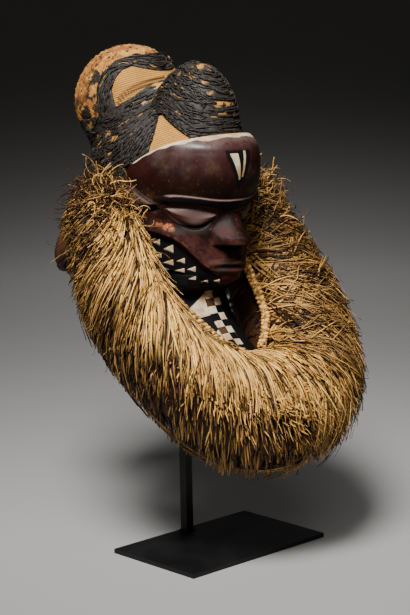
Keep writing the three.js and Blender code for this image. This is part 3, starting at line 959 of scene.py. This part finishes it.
def clear_of_carving(p):
    """Moves points sideways out of the face and forward off the beard board."""
    x, y, z = p[..., 0], p[..., 1], p[..., 2]
    front, half, point = face_row(np.maximum(z, 352))
    depth = np.clip((FACE_BACK - y) / (FACE_BACK - front), 0, 1)
    limit = (half + 2.5) * np.sqrt(np.clip(1 - depth ** (2 / point), 0, 1)) + 2.5
    inside = (np.abs(x) < limit) & (y > front - 3) & (y < 100) & (z > 352)
    x = np.where(inside, np.where(x < 0, -limit, limit), x)
    board_y = np.interp(z, BEARD_PATH[::-1, 1], BEARD_PATH[::-1, 0]) + beard_drop(x)
    on_board = (np.abs(x) < 54) & (z < 352) & (z > 240) & (y > board_y - 3) & (y < board_y + 22)
    return xyz(x, np.where(on_board, board_y - 3, y), z)


def ruff_strands(kind, share, rng):
    """Paths, normals and tones of one kind of fringe strand. Strands lie in tufts that share a lean."""
    count = int(kind.strands * share)
    points = kind.points
    tufts = max(count // kind.tuft, 1)
    of = rng.integers(0, tufts, count)

    def shared(low, high, spread):
        return rng.uniform(low, high, tufts)[of] + rng.normal(0, spread, count)

    t = shared(*kind.run, 0.005)
    angle = math.pi * shared(*kind.start, 0.03)
    length = shared(*kind.length, 9)
    depth = np.minimum(shared(*kind.depth, 0.012), 0.985)
    lift = shared(*kind.lift, 0.02)
    weight = lerp(2.5, 0.5, smooth(0.44, 0.6, t))
    # strands lie in more disorder on the mask's left side
    left = smooth(0.44, 0.62, t)
    lean = lerp(0.22, 0.62, left) * rng.normal(0, 1, tufts)[of]
    lean = kind.lean * (lean + lerp(0.16, 0.24, left) * rng.normal(0, 1, count))
    kink_at = rng.uniform(0.25, 0.8, count)
    kink = lerp(0.7, 1.3, left) * rng.normal(0, 1, count) * (rng.uniform(size=count) < kind.kinks)
    tone = np.clip(rng.beta(1.7, 1.6, tufts)[of] + rng.normal(0, 0.22, count), 0.03, 1) * kind.tone
    bend = rng.uniform(0, 2 * math.pi, count)
    # strands that start behind the fringe lie the other way round
    sign = -1.0 if kind.start[1] < 1 else 1.0
    if sign > 0:
        by_board = bump(t, 0.29, 0.15)
        first = 0.9 + 0.33 * by_board + rng.uniform(0, 0.08, count)
        angle = np.maximum(angle, math.pi * first)
        lift = lift * (1 - 0.6 * by_board)
    more = 0.4 * smooth(0.52, 0.66, t) + 0.24 * (1 - smooth(0.14, 0.38, t)) - 0.2 * bump(t, 0.45, 0.14)
    stop = math.pi * (shared(*kind.stop, 0.03) + more)
    step = length / (points - 1)
    path, normals, tones = [], [], []
    for run in np.arange(points) / (points - 1):
        reach = depth + lift * run ** 1.5 + 0.008 * np.sin(bend + 5 * run)
        place, normal = ruff_point(t, angle, reach)
        path.append(place)
        normals.append(normal)
        # painted shade: darker deep in the fringe, under its front edge and on its left side, and painted
        # light near its right end
        buried = lerp(lerp(0.3, 0.1, left), 1.12, smooth(0.84, 0.96, reach))
        shade = 1 - 0.55 * smooth(1.58 * math.pi, 1.85 * math.pi, angle) * (1 - smooth(0.5, 0.66, t))
        shade = shade * lerp(1.0, 0.54, smooth(0.5, 0.64, t)) * lerp(1.0, 0.8, smooth(0.74, 0.86, t))
        shade = shade * lerp(1.2, 1.0, smooth(0.16, 0.26, t))
        tones.append(tone * buried * shade * lerp(kind.root, 1.0, run))
        # one step around the fringe and along it, pulled down by the strand's weight
        _, along, outward, back, across, deep = ruff_station(t)
        turn = off_line(0, outward, back, -np.sin(angle) * across, np.cos(angle) * deep)
        size = np.maximum(np.linalg.norm(turn, axis=1), 8)
        turn = turn / size[:, None] * sign
        gravity = weight * lerp(0.6, 1.9, run)
        pull_turn = np.maximum(1 - gravity * turn[:, 2], 0.3)
        pull_along = -gravity * along[:, 2] + lean + kink * (run > kink_at) + 0.3 * np.sin(bend + 4 * run)
        move = step * np.where(angle < stop, 1.0, 0.03) / np.hypot(pull_turn, pull_along)
        angle = angle + sign * move * pull_turn / size
        t = np.clip(t + move * pull_along / RUFF_LENGTH, 0.004, 0.996)
    paths = np.stack(path, axis=1)
    total = np.zeros((tufts, points, 3))
    np.add.at(total, of, paths)
    middle = total / np.maximum(np.bincount(of, minlength=tufts), 1)[:, None, None]
    pull = kind.gather * np.linspace(0, 1, points)[None, :, None] ** 1.5
    return lerp(paths, middle[of], pull), np.stack(normals, axis=1), np.stack(tones, axis=1)


def tangle_strands(count, points, rng):
    """Short curly strands at the two upper ends of the fringe."""
    t = rng.uniform(0.0, 0.2, count) * rng.uniform(0.4, 1, count)
    t = np.where(rng.uniform(size=count) < 0.55, t, 1 - t)
    angle = math.pi * rng.uniform(1.05, 2.1, count)
    by_face = 1 - smooth(1.08 * math.pi, 1.45 * math.pi, angle)
    outer = smooth(1.6 * math.pi, 1.9 * math.pi, angle)
    reach = rng.uniform(0.84, 1.04, count) - 0.12 * outer - 0.06 * by_face
    place, normal = ruff_point(t, angle, reach)
    heading = unit(rng.normal(0, 1, (count, 3)) + normal * 0.35 + np.array([0, 0, 0.1]))
    path = []
    step = (rng.uniform(2.6, 5.4, count) * (1 - 0.5 * by_face))[:, None]
    spin = unit(rng.normal(0, 1, (count, 3)))
    bend = rng.uniform(0.15, 0.65, count)[:, None]
    for _ in range(points):
        path.append(place)
        place = place + heading * step
        heading = unit(heading + np.cross(spin, heading) * bend + rng.normal(0, 0.14, (count, 3)))
    # painted shade: strands that start deeper in the fringe are darker
    tone = (rng.beta(1.8, 2.0, count) * lerp(0.12, 0.85, smooth(0.86, 1.0, reach)))[:, None]
    return np.stack(path, axis=1), np.stack([normal] * points, axis=1), tone * np.ones((1, points))


def cord_paths(mirrored):
    """Three strands of a plait that lies on the inner side of the fringe."""
    run = lerp(CORD_START, CORD_END, np.linspace(0, 1, CORD_POINTS))
    p, along, outward, back, across, deep = ruff_station(1 - run if mirrored else run)
    to_out = math.cos(CORD_ANGLE) * (across + CORD_STAND_OFF)
    to_back = math.sin(CORD_ANGLE) * (deep + CORD_STAND_OFF)
    middle = off_line(p, outward, back, to_out, to_back)
    side = unit(np.cross(along, outward))
    phase = np.linspace(0, 2 * math.pi * CORD_TURNS, CORD_POINTS)
    paths = []
    for k in range(3):
        turn = phase + k * 2 * math.pi / 3
        swing, crossing = CORD_SWING * np.sin(turn), CORD_CROSSING * np.sin(2 * turn)
        paths.append(off_line(middle, side, outward, swing, crossing))
    return paths


def tube_rings(path, radius, around):
    """Rings of a round tube along a path."""
    along = unit(np.gradient(path, axis=0))
    side = unit(np.cross(along, np.array([0.31, 0.77, 0.55])))
    up = np.cross(side, along)
    angle = np.linspace(0, 2 * math.pi, around, endpoint=False)[None, :]
    across, over = np.cos(angle) * radius, np.sin(angle) * radius
    return off_line(path[:, None], side[:, None], up[:, None], across, over)


# materials

def scaled(colour, amount):
    return tuple(c * amount for c in colour)


class Nodes:
    """Shorthand for wiring a material."""

    def __init__(self, name):
        self.material = bpy.data.materials.new(name)
        self.material.use_nodes = True
        self.tree = self.material.node_tree
        self.shader = self.tree.nodes["Principled BSDF"]
        self.place = self.add("ShaderNodeTexCoord").outputs["Object"]

    def add(self, kind, **values):
        node = self.tree.nodes.new(kind)
        for key, value in values.items():
            setattr(node, key, value)
        return node

    def give(self, socket, value):
        """Sets a socket to a number or a colour, or links another node's output to it."""
        if isinstance(value, (int, float)):
            socket.default_value = value
        elif isinstance(value, (tuple, Color)):
            socket.default_value = (*value, 1.0)
        else:
            self.tree.links.new(value, socket)

    def layer(self, name):
        return self.add("ShaderNodeAttribute", attribute_name=name).outputs["Fac"]

    def noise(self, scale, detail=4.0, roughness=0.6, stretch=(1, 1, 1)):
        mapping = self.add("ShaderNodeMapping")
        mapping.inputs["Scale"].default_value = stretch
        self.give(mapping.inputs["Vector"], self.place)
        node = self.add("ShaderNodeTexNoise")
        self.give(node.inputs["Scale"], scale)
        self.give(node.inputs["Detail"], detail)
        self.give(node.inputs["Roughness"], roughness)
        self.give(node.inputs["Vector"], mapping.outputs["Vector"])
        return node.outputs["Fac"]

    def number(self, operation, a, b):
        node = self.add("ShaderNodeMath", operation=operation)
        self.give(node.inputs[0], a)
        self.give(node.inputs[1], b)
        return node.outputs[0]

    def times(self, a, b):
        return self.number("MULTIPLY", a, b)

    def plus(self, a, b):
        return self.number("ADD", a, b)

    def span(self, value, low, high, to_low=0.0, to_high=1.0):
        node = self.add("ShaderNodeMapRange", interpolation_type="SMOOTHSTEP")
        for socket, given in zip(node.inputs, (value, low, high, to_low, to_high)):
            self.give(socket, given)
        return node.outputs["Result"]

    def mix(self, amount, a, b):
        node = self.add("ShaderNodeMix", data_type="RGBA")
        for socket, value in ((node.inputs["Factor"], amount), (node.inputs[6], a), (node.inputs[7], b)):
            self.give(socket, value)
        return node.outputs[2]

    def surface(self, colour, roughness, gloss, height, distance, strength):
        """Sets what the surface shows, and its fine relief."""
        self.give(self.shader.inputs["Base Color"], colour)
        self.give(self.shader.inputs["Roughness"], roughness)
        self.give(self.shader.inputs["Specular IOR Level"], gloss)
        node = self.add("ShaderNodeBump")
        self.give(node.inputs["Strength"], strength)
        self.give(node.inputs["Distance"], distance)
        self.give(node.inputs["Height"], height)
        self.give(self.shader.inputs["Normal"], node.outputs["Normal"])
        return self.material


def wood_material(settings):
    m = Nodes("carved_wood")
    broad = m.noise(11.0, 6.0, 0.62)
    mottle = m.noise(38.0, 5.0, 0.65)
    fine = m.noise(150.0, 4.0, 0.65)
    grain = m.noise(60.0, 3.0, 0.6, (3.0, 3.0, 0.35))
    lower_face = m.layer("paint_lower")
    dark = scaled(settings.wood_colour, 0.4)
    base = m.mix(m.span(broad, 0.35, 0.62), dark, settings.wood_colour)
    lower = m.mix(m.span(mottle, 0.42, 0.62), settings.dark_mottle_and_shade_colour, settings.lower_face_colour)
    base = m.mix(lower_face, base, lower)
    # painted shade on the lower forehead, where it turns down from the light
    deep = m.times(m.layer("painted_forehead_shade"), m.span(broad, 0.3, 0.55, 0.6, 1.0))
    base = m.mix(deep, base, settings.dark_mottle_and_shade_colour)
    olive = m.times(m.span(mottle, 0.52, 0.72), m.span(lower_face, 0.0, 1.0, 0.45, 0.2))
    base = m.mix(olive, base, settings.mottle_colour)
    # painted highlight under the hairline
    hairline_highlight = m.times(m.layer("painted_hairline_highlight"), m.span(mottle, 0.3, 0.6, 0.3, 0.9))
    base = m.mix(hairline_highlight, base, scaled(settings.lid_and_highlight_colour, 0.65))
    base = m.mix(m.span(grain, 0.56, 0.8, 0.0, 0.6), base, dark)
    # eyelid paint and painted highlights
    base = m.mix(m.span(m.layer("paint_lids_and_highlights"), 0.2, 0.8, 0.0, 0.85), base, settings.lid_and_highlight_colour)
    worn = m.times(m.layer("paint_worn"), m.span(fine, 0.3, 0.65, 0.2, 1.5))
    base = m.mix(m.span(worn, 0.15, 1.0), base, settings.worn_colour)
    speck = m.span(m.noise(230.0, 2.0, 0.5), 0.64, 0.74)
    base = m.mix(m.times(speck, 0.3), base, scaled(settings.worn_colour, 0.4))
    # painted marks, with edges that waver with the fine noise
    rough_edge = m.times(m.number("SUBTRACT", fine, 0.5), 0.35)
    black = m.span(m.plus(m.layer("paint_black"), rough_edge), 0.4, 0.6)
    base = m.mix(black, base, settings.black_paint)
    brown = m.span(m.plus(m.layer("paint_brown"), rough_edge), 0.42, 0.58)
    base = m.mix(brown, base, settings.mottle_colour)
    white = m.span(m.plus(m.layer("paint_white"), rough_edge), 0.42, 0.58)
    chalk = m.mix(m.span(mottle, 0.4, 0.62), settings.white_paint, settings.chalk_stain)
    base = m.mix(white, base, chalk)
    matte = m.plus(m.times(white, 0.3), m.times(black, 0.18))
    matte = m.plus(matte, m.times(lower_face, 0.1))
    rough = m.plus(m.span(mottle, 0.3, 0.7, 0.34, 0.56), matte)
    dull = m.number("MAXIMUM", black, m.layer("painted_forehead_shade"))
    dull = m.number("MAXIMUM", dull, m.times(lower_face, 0.7))
    height = m.plus(m.times(fine, 0.5), m.times(grain, 0.7))
    return m.surface(base, rough, m.span(dull, 0.0, 1.0, 0.32, 0.08), height, 0.0007, 0.4)


def woven_material(settings):
    m = Nodes("woven_raffia")
    place = m.add("ShaderNodeSeparateXYZ")
    m.give(place.inputs[0], m.place)
    row = m.plus(place.outputs["Z"], m.times(place.outputs["Y"], 0.4))
    wave = m.number("SINE", m.times(row, 2 * math.pi / WEAVE_ROW), 0.0)
    fine = m.noise(420.0, 3.0, 0.6)
    broad = m.noise(28.0, 4.0, 0.6)
    tan = tuple(settings.woven_colour)
    base = m.mix(m.span(broad, 0.3, 0.7), scaled(tan, 0.7), tan)
    base = m.mix(m.times(m.span(wave, -0.1, -0.9), 0.8), base, scaled(tan, 0.22))
    base = m.mix(m.times(m.span(fine, 0.55, 0.75), 0.5), base, scaled(tan, 1.25))
    rim = m.mix(m.span(m.noise(60.0, 4.0, 0.65), 0.42, 0.62), settings.rim_colour, tan)
    speck = m.span(m.noise(130.0, 3.0, 0.6), 0.57, 0.63)
    rim = m.mix(m.times(speck, 0.9), rim, SPECK_COLOUR)
    base = m.mix(m.layer("rim"), base, rim)
    patch = m.times(m.layer("patch"), m.span(m.noise(65.0, 3.0, 0.6), 0.42, 0.5))
    base = m.mix(patch, base, settings.fibre_colour)
    # painted shade in the folds of the round panel and along the cap's cut edge behind the face
    base = m.mix(m.layer("fold_shade"), base, FOLD_SHADE_COLOUR)
    # painted shade: dark reddish brown low on the back of the cap
    nape = m.mix(m.span(broad, 0.4, 0.65), settings.nape_shade_colour, scaled(settings.nape_shade_colour, 0.25))
    base = m.mix(m.layer("nape"), base, nape)
    return m.surface(base, 0.85, 0.2, m.plus(m.times(wave, 0.25), fine), 0.0008, 0.6)


def fibre_material(settings):
    m = Nodes("black_raffia")
    streak = m.noise(260.0, 3.0, 0.6)
    black = settings.fibre_colour
    base = m.mix(m.span(streak, 0.35, 0.7), scaled(black, 0.5), scaled(black, 2.0))
    pale = m.times(m.layer("pale"), m.span(m.noise(120.0, 3.0, 0.6), 0.42, 0.52))
    base = m.mix(pale, base, scaled(settings.woven_colour, 0.8))
    return m.surface(base, 0.6, 0.35, streak, 0.0004, 0.5)


def raffia_material(settings, name="raw_raffia"):
    m = Nodes(name)
    streak = m.noise(330.0, 3.0, 0.6)
    straw = tuple(settings.raffia_colour)
    dark = tuple(settings.raffia_dark_colour)
    middle = tuple(0.42 * a + 0.58 * b for a, b in zip(straw, dark))
    bright = tuple(min(c * 1.35, 1.0) for c in straw)
    tone = m.plus(m.layer("tone"), m.times(m.number("SUBTRACT", streak, 0.5), 0.35))
    base = m.mix(m.span(tone, 0.05, 0.4), dark, middle)
    base = m.mix(m.span(tone, 0.35, 0.7), base, straw)
    base = m.mix(m.span(tone, 0.65, 0.95), base, bright)
    return m.surface(base, 0.5, 0.25, streak, 0.0003, 0.4)


def steel_material(settings):
    m = Nodes("stand_steel")
    soft = m.noise(14.0, 4.0, 0.5)
    base = m.mix(m.span(soft, 0.35, 0.7), settings.steel_colour, scaled(settings.steel_colour, 1.8))
    return m.surface(base, m.span(soft, 0.3, 0.7, 0.4, 0.55), 0.25, m.noise(900.0, 2.0, 0.5), 0.0001, 0.12)


class MaskSettings(bpy.types.PropertyGroup):
    """Sizes and colours of the mask and its stand."""

    wood_colour: bpy.props.FloatVectorProperty(
        name="Wood", description="Colour of the polished forehead", subtype="COLOR",
        default=(0.031, 0.0062, 0.005), min=0, max=1)
    lower_face_colour: bpy.props.FloatVectorProperty(
        name="Lower face", description="Colour of the cheeks and nose", subtype="COLOR",
        default=(0.046, 0.0115, 0.0092), min=0, max=1)
    # the dark above the brow is painted shade where the lower forehead turns down from the light; the same
    # colour is the dark of the lower face's mottling
    dark_mottle_and_shade_colour: bpy.props.FloatVectorProperty(
        name="Lower forehead", description="Dark brown stain above the brow", subtype="COLOR",
        default=(0.010, 0.0038, 0.0022), min=0, max=1)
    mottle_colour: bpy.props.FloatVectorProperty(
        name="Rubbed stain", description="Golden brown where the stain is rubbed thin", subtype="COLOR",
        default=(0.075, 0.035, 0.014), min=0, max=1)
    # also the colour of the painted highlights on the brow's edge, the lips, the ear's shelf and under the
    # hairline; on the eyelids partly their own colour and partly a painted highlight
    lid_and_highlight_colour: bpy.props.FloatVectorProperty(
        name="Eyelids", description="Colour of the eyelids and lips", subtype="COLOR",
        default=(0.19, 0.115, 0.1), min=0, max=1)
    worn_colour: bpy.props.FloatVectorProperty(
        name="Worn paint", description="Colour where the paint is worn away", subtype="COLOR",
        default=(0.42, 0.13, 0.045), min=0, max=1)
    black_paint: bpy.props.FloatVectorProperty(
        name="Black paint", description="Colour of the brow and jaw", subtype="COLOR",
        default=(0.005, 0.0045, 0.0048), min=0, max=1)
    white_paint: bpy.props.FloatVectorProperty(
        name="White paint", description="Colour of the chalky marks", subtype="COLOR",
        default=(0.62, 0.52, 0.37), min=0, max=1)
    chalk_stain: bpy.props.FloatVectorProperty(
        name="Stained white paint", description="Colour of thin or dirty white paint", subtype="COLOR",
        default=(0.42, 0.27, 0.13), min=0, max=1)
    woven_colour: bpy.props.FloatVectorProperty(
        name="Woven cap", description="Colour of the bare weave", subtype="COLOR",
        default=(0.57, 0.27, 0.058), min=0, max=1)
    rim_colour: bpy.props.FloatVectorProperty(
        name="Cap rim", description="Colour of the bare rim of the cap", subtype="COLOR",
        default=(0.3, 0.11, 0.026), min=0, max=1)
    # painted shade low on the back of the cap, below the black fibre
    nape_shade_colour: bpy.props.FloatVectorProperty(
        name="Cap at the nape", description="Reddish brown below the black fibre", subtype="COLOR",
        default=(0.09, 0.032, 0.011), min=0, max=1)
    fibre_colour: bpy.props.FloatVectorProperty(
        name="Black fibre", description="Colour of the dyed fibre on the cap", subtype="COLOR",
        default=(0.021, 0.0165, 0.0125), min=0, max=1)
    raffia_colour: bpy.props.FloatVectorProperty(
        name="Straw raffia", description="Colour of the pale strands of the fringe", subtype="COLOR",
        default=(0.86, 0.46, 0.12), min=0, max=1)
    # also the colour of the painted shade deep in the fringe
    raffia_dark_colour: bpy.props.FloatVectorProperty(
        name="Dark raffia", description="Colour of the cut ends and depth of the fringe", subtype="COLOR",
        default=(0.026, 0.0095, 0.0026), min=0, max=1)
    fringe_density: bpy.props.FloatProperty(
        name="Fringe density", description="Share of the full number of fringe strands", subtype="FACTOR",
        default=1.0, min=0.05, max=1.0)
    fibre_density: bpy.props.FloatProperty(
        name="Black fibre density", description="Share of the full number of strands", subtype="FACTOR",
        default=1.0, min=0.05, max=1.0)
    steel_colour: bpy.props.FloatVectorProperty(
        name="Steel", description="Colour of the stand", subtype="COLOR",
        default=(0.004, 0.004, 0.0043), min=0, max=1)
    cord_radius: bpy.props.FloatProperty(
        name="Plait strand", description="Radius of each strand of the plaited cords", unit="LENGTH",
        default=0.0026, min=0.0005, max=0.005)


class StageSettings(bpy.types.PropertyGroup):
    """Sizes and colours of the floor and the lights."""

    floor_colour: bpy.props.FloatVectorProperty(
        name="Floor", description="Colour of the floor", subtype="COLOR",
        default=(0.37, 0.36, 0.345), min=0, max=1)
    floor_radius: bpy.props.FloatProperty(
        name="Floor radius", description="Radius of the flat part of the floor", unit="LENGTH",
        default=2.7, min=1.0, max=10.0)
    light_power: bpy.props.FloatProperty(
        name="Light", description="Share of the full power of every light", subtype="FACTOR",
        default=1.0, min=0.0, max=2.0)


class MASK_OT_face(bpy.types.Operator):
    """Build the carved face with its beard board"""

    bl_idname = "mask.face"
    bl_label = "Carved face"

    def execute(self, context):
        face = mesh_object("carved_face", *face_outer_body(*FACE_GRID))
        combine(face, mesh_object("hollow", *face_hollow_body()), "DIFFERENCE")
        combine(face, mesh_object("below_hair", *under_hairline_body(-0.15)), "INTERSECT")
        combine(face, mesh_object("neck", *neck_body()), "UNION")
        combine(face, mesh_object("board", *beard_body(*BEARD_GRID)), "UNION")
        for name, values in face_paint(points_of(face)).items():
            add_layer(face, name, values)
        coat(face, wood_material(context.scene.mask_settings))
        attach(face, "root")
        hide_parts("mask_face")
        return {"FINISHED"}


class MASK_OT_cap(bpy.types.Operator):
    """Build the woven cap"""

    bl_idname = "mask.cap"
    bl_label = "Woven cap"

    def execute(self, context):
        grid = cap_grid(*CAP_GRID)
        grid = grid + cap_normal(grid) * cap_relief(grid)[..., None]
        cap = mesh_object("woven_cap_fine", *ring_body(grid))
        combine(cap, mesh_object("hollow", *ring_body(cap_grid(60, 40, CAP_WALL))), "DIFFERENCE")
        combine(cap, mesh_object("below_hair", *under_hairline_body(0.15)), "DIFFERENCE")
        p = points_of(cap)
        y, z = p[:, 1], p[:, 2]
        outside = ~in_outline(y, z, FIBRE_OUTLINE) & (z > 520)
        from_edge = outline_distance(y, z, FIBRE_OUTLINE)
        add_layer(cap, "rim", outside * smooth(0, 3, from_edge))
        add_layer(cap, "patch", outside * (1 - smooth(8, 30, np.abs(from_edge - 6))) * (z < 632))
        # painted shade in the folds of the round panel and along the cut edge behind the face
        fold_shade = np.zeros(len(p))
        for shift in FOLD_SHIFTS:
            line = np.interp(y, FOLD_LINE[:, 0], FOLD_LINE[:, 1] - shift)
            fold_shade = np.maximum(fold_shade, bump(z, line, 2.8) * (y > 100) * (y < 133))
        cut_edge = (z < hairline(y) + 3) * (y > 78) * (y < 98)
        add_layer(cap, "fold_shade", np.maximum(fold_shade, cut_edge))
        # painted shade low on the back of the cap
        add_layer(cap, "nape", (1 - smooth(440, 500, z)) * smooth(80, 90, y))
        coat(cap, woven_material(context.scene.mask_settings))
        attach(cap, "root")
        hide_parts("woven_cap")
        return {"FINISHED"}


class MASK_OT_fibre(bpy.types.Operator):
    """Build the black fibre laid over the cap"""

    bl_idname = "mask.fibre"
    bl_label = "Black fibre"

    def execute(self, context):
        settings = context.scene.mask_settings
        rng = np.random.default_rng(BLACK_SEED)
        material = fibre_material(settings)
        count = int(BLACK_STRANDS * settings.fibre_density)
        paths, normals = fibre_strands(count, BLACK_POINTS, BLACK_STEP, rng)
        run = np.linspace(0, 1, BLACK_POINTS)[None, :]
        taper = np.sqrt(np.clip(1 - (2 * run - 1) ** 4, 0.06, 1))
        widths = rng.uniform(*BLACK_WIDTH, (len(paths), 1)) * taper
        heights = rng.uniform(*BLACK_HEIGHT, (len(paths), 1)) * taper
        strands = mesh_object("black_strands", *strand_body(paths, normals, widths, heights))
        pale = (rng.uniform(size=len(paths)) < 0.02) * 0.8
        add_layer(strands, "pale", np.repeat(pale, BLACK_POINTS * 3))
        strands.data.materials.append(material)
        mat = mesh_object("black_mat", *ring_body(cap_grid(*MAT_GRID, -MAT_OUTSIDE)))
        combine(mat, mesh_object("inside", *ring_body(cap_grid(*MAT_GRID, -MAT_INSIDE))), "DIFFERENCE")
        combine(mat, mesh_object("outline", *outline_body(FIBRE_OUTLINE)), "INTERSECT")
        combine(mat, mesh_object("round", *outline_body(ROUND_PANEL)), "DIFFERENCE")
        combine(mat, mesh_object("front", *outline_body(FRONT_PANEL)), "DIFFERENCE")
        combine(mat, mesh_object("below_hair", *under_hairline_body(1.0)), "DIFFERENCE")
        add_layer(mat, "pale", smooth(0.25, 0.5, worn_spots(points_of(mat))))
        coat(mat, material)
        for obj in (strands, mat):
            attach(obj, "root")
        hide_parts("black_fibre")
        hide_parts("black_fibre")
        return {"FINISHED"}


class MASK_OT_ruff(bpy.types.Operator):
    """Build the raffia fringe"""

    bl_idname = "mask.ruff"
    bl_label = "Raffia fringe"

    def execute(self, context):
        settings = context.scene.mask_settings
        rng = np.random.default_rng(FRINGE_SEED)
        material = raffia_material(settings)
        # packed fibre under the strands, dark as painted shade in the gaps between them
        core = mesh_object("fringe_shade_core", *ring_body(ruff_core()))
        combine(core, mesh_object("face_space", *face_space(CORE_OFF_FACE)), "DIFFERENCE")
        combine(core, mesh_object("cap_space", *ring_body(cap_grid(40, 24, -CORE_OFF_CAP))), "DIFFERENCE")
        add_layer(core, "tone", np.full(len(core.data.vertices), CORE_SHADE_TONE))
        coat(core, material)
        pieces = [core]
        share = settings.fringe_density
        plan = [(name, *ruff_strands(kind, share, rng), kind.width) for name, kind in FRINGE_KINDS.items()]
        tangle = tangle_strands(int(TANGLE_STRANDS * share), TANGLE_POINTS, rng)
        plan.append(("fringe_tangle", *tangle, TANGLE_WIDTH))
        for name, paths, normals, tone, thickness in plan:
            count, points = tone.shape
            run = np.linspace(0, 1, points)[None, :]
            wide = rng.uniform(*thickness, (count, 1))
            widths = wide * (1 - 0.5 * run ** 1.5) * smooth(-0.05, 0.12, run)
            heights = 0.14 * wide + 0.12 + 0 * run
            roll = rng.normal(0, 0.3, (count, 1)) + rng.normal(0, 0.6, (count, 1)) * run
            body = strand_body(clear_of_carving(paths), normals, widths, heights, roll)
            strands = mesh_object(name, *body, smooth_shade=False)
            shade = np.clip(tone * (1 - 0.25 * run ** 3) + rng.normal(0, 0.04, tone.shape), 0, 1.1)
            add_layer(strands, "tone", np.repeat(shade.ravel(), 3))
            strands.data.materials.append(material)
            pieces.append(strands)
        for obj in pieces:
            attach(obj, "root")
            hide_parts("raffia_ruff")
        return {"FINISHED"}


class MASK_OT_cords(bpy.types.Operator):
    """Build the plaited cords"""

    bl_idname = "mask.cords"
    bl_label = "Plaited cords"

    def execute(self, context):
        settings = context.scene.mask_settings
        material = raffia_material(settings, "plait_raffia")
        for name, mirrored in (("ruff_cord_r", False), ("ruff_cord_l", True)):
            strands = [clear_of_carving(path) for path in cord_paths(mirrored)]
            bodies = [ring_body(tube_rings(path, in_mm(settings.cord_radius), 8)) for path in strands]
            verts = np.vstack([v for v, _ in bodies])
            tris = np.vstack([f + k * len(bodies[0][0]) for k, (_, f) in enumerate(bodies)])
            cord = mesh_object(name + "_plait", verts, tris)
            add_layer(cord, "tone", 0.45 + 0.25 * np.sin(np.arange(len(verts)) * 0.13))
            cord.data.materials.append(material)
            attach(cord, "root")
            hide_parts(name)
        return {"FINISHED"}


class MASK_OT_stand(bpy.types.Operator):
    """Finish the steel plate and post"""

    bl_idname = "mask.stand"
    bl_label = "Stand"

    def execute(self, context):
        steel = steel_material(context.scene.mask_settings)
        for name in ("base_plate", "post"):
            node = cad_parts[name]
            node.data.materials.clear()
            node.data.materials.append(steel)
        return {"FINISHED"}


class MASK_OT_stage(bpy.types.Operator):
    """Build the floor, the lights and the camera"""

    bl_idname = "mask.stage"
    bl_label = "Stage"

    def execute(self, context):
        settings = context.scene.stage_settings
        turn = np.linspace(0, 2 * math.pi, FLOOR_AROUND, endpoint=False)
        bend = np.linspace(0, math.pi / 2, 24)
        radius = in_mm(settings.floor_radius)
        reach = np.concatenate([FLOOR_INNER, radius + FLOOR_BEND * np.sin(bend)])
        rise = np.concatenate([[0, 0], FLOOR_BEND * (1 - np.cos(bend))])
        rings = xyz(np.outer(reach, np.cos(turn)), np.outer(reach, np.sin(turn)), rise[:, None])
        floor = mesh_object("floor", rings.reshape(-1, 3), ring_faces(len(rings), FLOOR_AROUND))
        middle = mesh_object("floor_middle", rings[0], [list(range(FLOOR_AROUND))], smooth_shade=False)
        m = Nodes("floor_paint")
        paint = settings.floor_colour
        m.give(m.shader.inputs["Base Color"], m.mix(m.noise(2.0), paint, scaled(paint, 0.97)))
        m.give(m.shader.inputs["Roughness"], 0.85)
        for obj in (floor, middle):
            obj.data.materials.append(m.material)
        world = bpy.data.worlds.new("studio")
        world.use_nodes = True
        background = world.node_tree.nodes["Background"]
        background.inputs["Color"].default_value = (0.5, 0.5, 0.5, 1)
        background.inputs["Strength"].default_value = ROOM_LIGHT
        context.scene.world = world
        for name, place, aim, size, power, spread in LIGHTS:
            light = bpy.data.lights.new(name, "AREA")
            light.shape = "SQUARE"
            light.size = size
            light.energy = power * settings.light_power
            light.spread = math.radians(spread)
            obj = bpy.data.objects.new(name, light)
            obj.location = place
            obj.rotation_mode = "QUATERNION"
            obj.rotation_quaternion = (Vector(aim) - Vector(place)).to_track_quat("-Z", "Y")
            context.scene.collection.objects.link(obj)
        camera = bpy.data.cameras.new("camera")
        camera.lens = CAMERA_LENS * camera.sensor_width
        camera.clip_start = 0.05
        camera.clip_end = 60.0
        view = bpy.data.objects.new("camera", camera)
        turn, rise = math.radians(CAMERA_TURN), math.radians(CAMERA_RISE)
        level = math.cos(rise)
        back = Vector((math.sin(turn) * level, -math.cos(turn) * level, math.sin(rise)))
        view.location = Vector(CAMERA_TARGET) + back * CAMERA_DISTANCE
        view.rotation_mode = "QUATERNION"
        view.rotation_quaternion = (-back).to_track_quat("-Z", "Y")
        context.scene.collection.objects.link(view)
        context.scene.camera = view
        return {"FINISHED"}


class MASK_PT_panel(bpy.types.Panel):
    """Lists the settings and the building steps"""

    bl_idname = "MASK_PT_panel"
    bl_label = "Mask on a stand"
    bl_space_type = "VIEW_3D"
    bl_region_type = "UI"
    bl_category = "Mask"

    def draw(self, context):
        for settings in (context.scene.mask_settings, context.scene.stage_settings):
            for name in type(settings).__annotations__:
                self.layout.prop(settings, name)
        for step in STEPS:
            self.layout.operator(step.bl_idname)


STEPS = (
    MASK_OT_stand, MASK_OT_face, MASK_OT_cap, MASK_OT_fibre, MASK_OT_ruff, MASK_OT_cords, MASK_OT_stage,
)
CLASSES = (MaskSettings, StageSettings) + STEPS + (MASK_PT_panel,)


def register():
    for cls in CLASSES:
        bpy.utils.register_class(cls)
    bpy.types.Scene.mask_settings = bpy.props.PointerProperty(type=MaskSettings)
    bpy.types.Scene.stage_settings = bpy.props.PointerProperty(type=StageSettings)


def unregister():
    del bpy.types.Scene.mask_settings
    del bpy.types.Scene.stage_settings
    for cls in reversed(CLASSES):
        bpy.utils.unregister_class(cls)


def main():
    register()
    for step in STEPS:
        group, name = step.bl_idname.split(".")
        getattr(getattr(bpy.ops, group), name)()


if __name__ == "__main__":
    main()
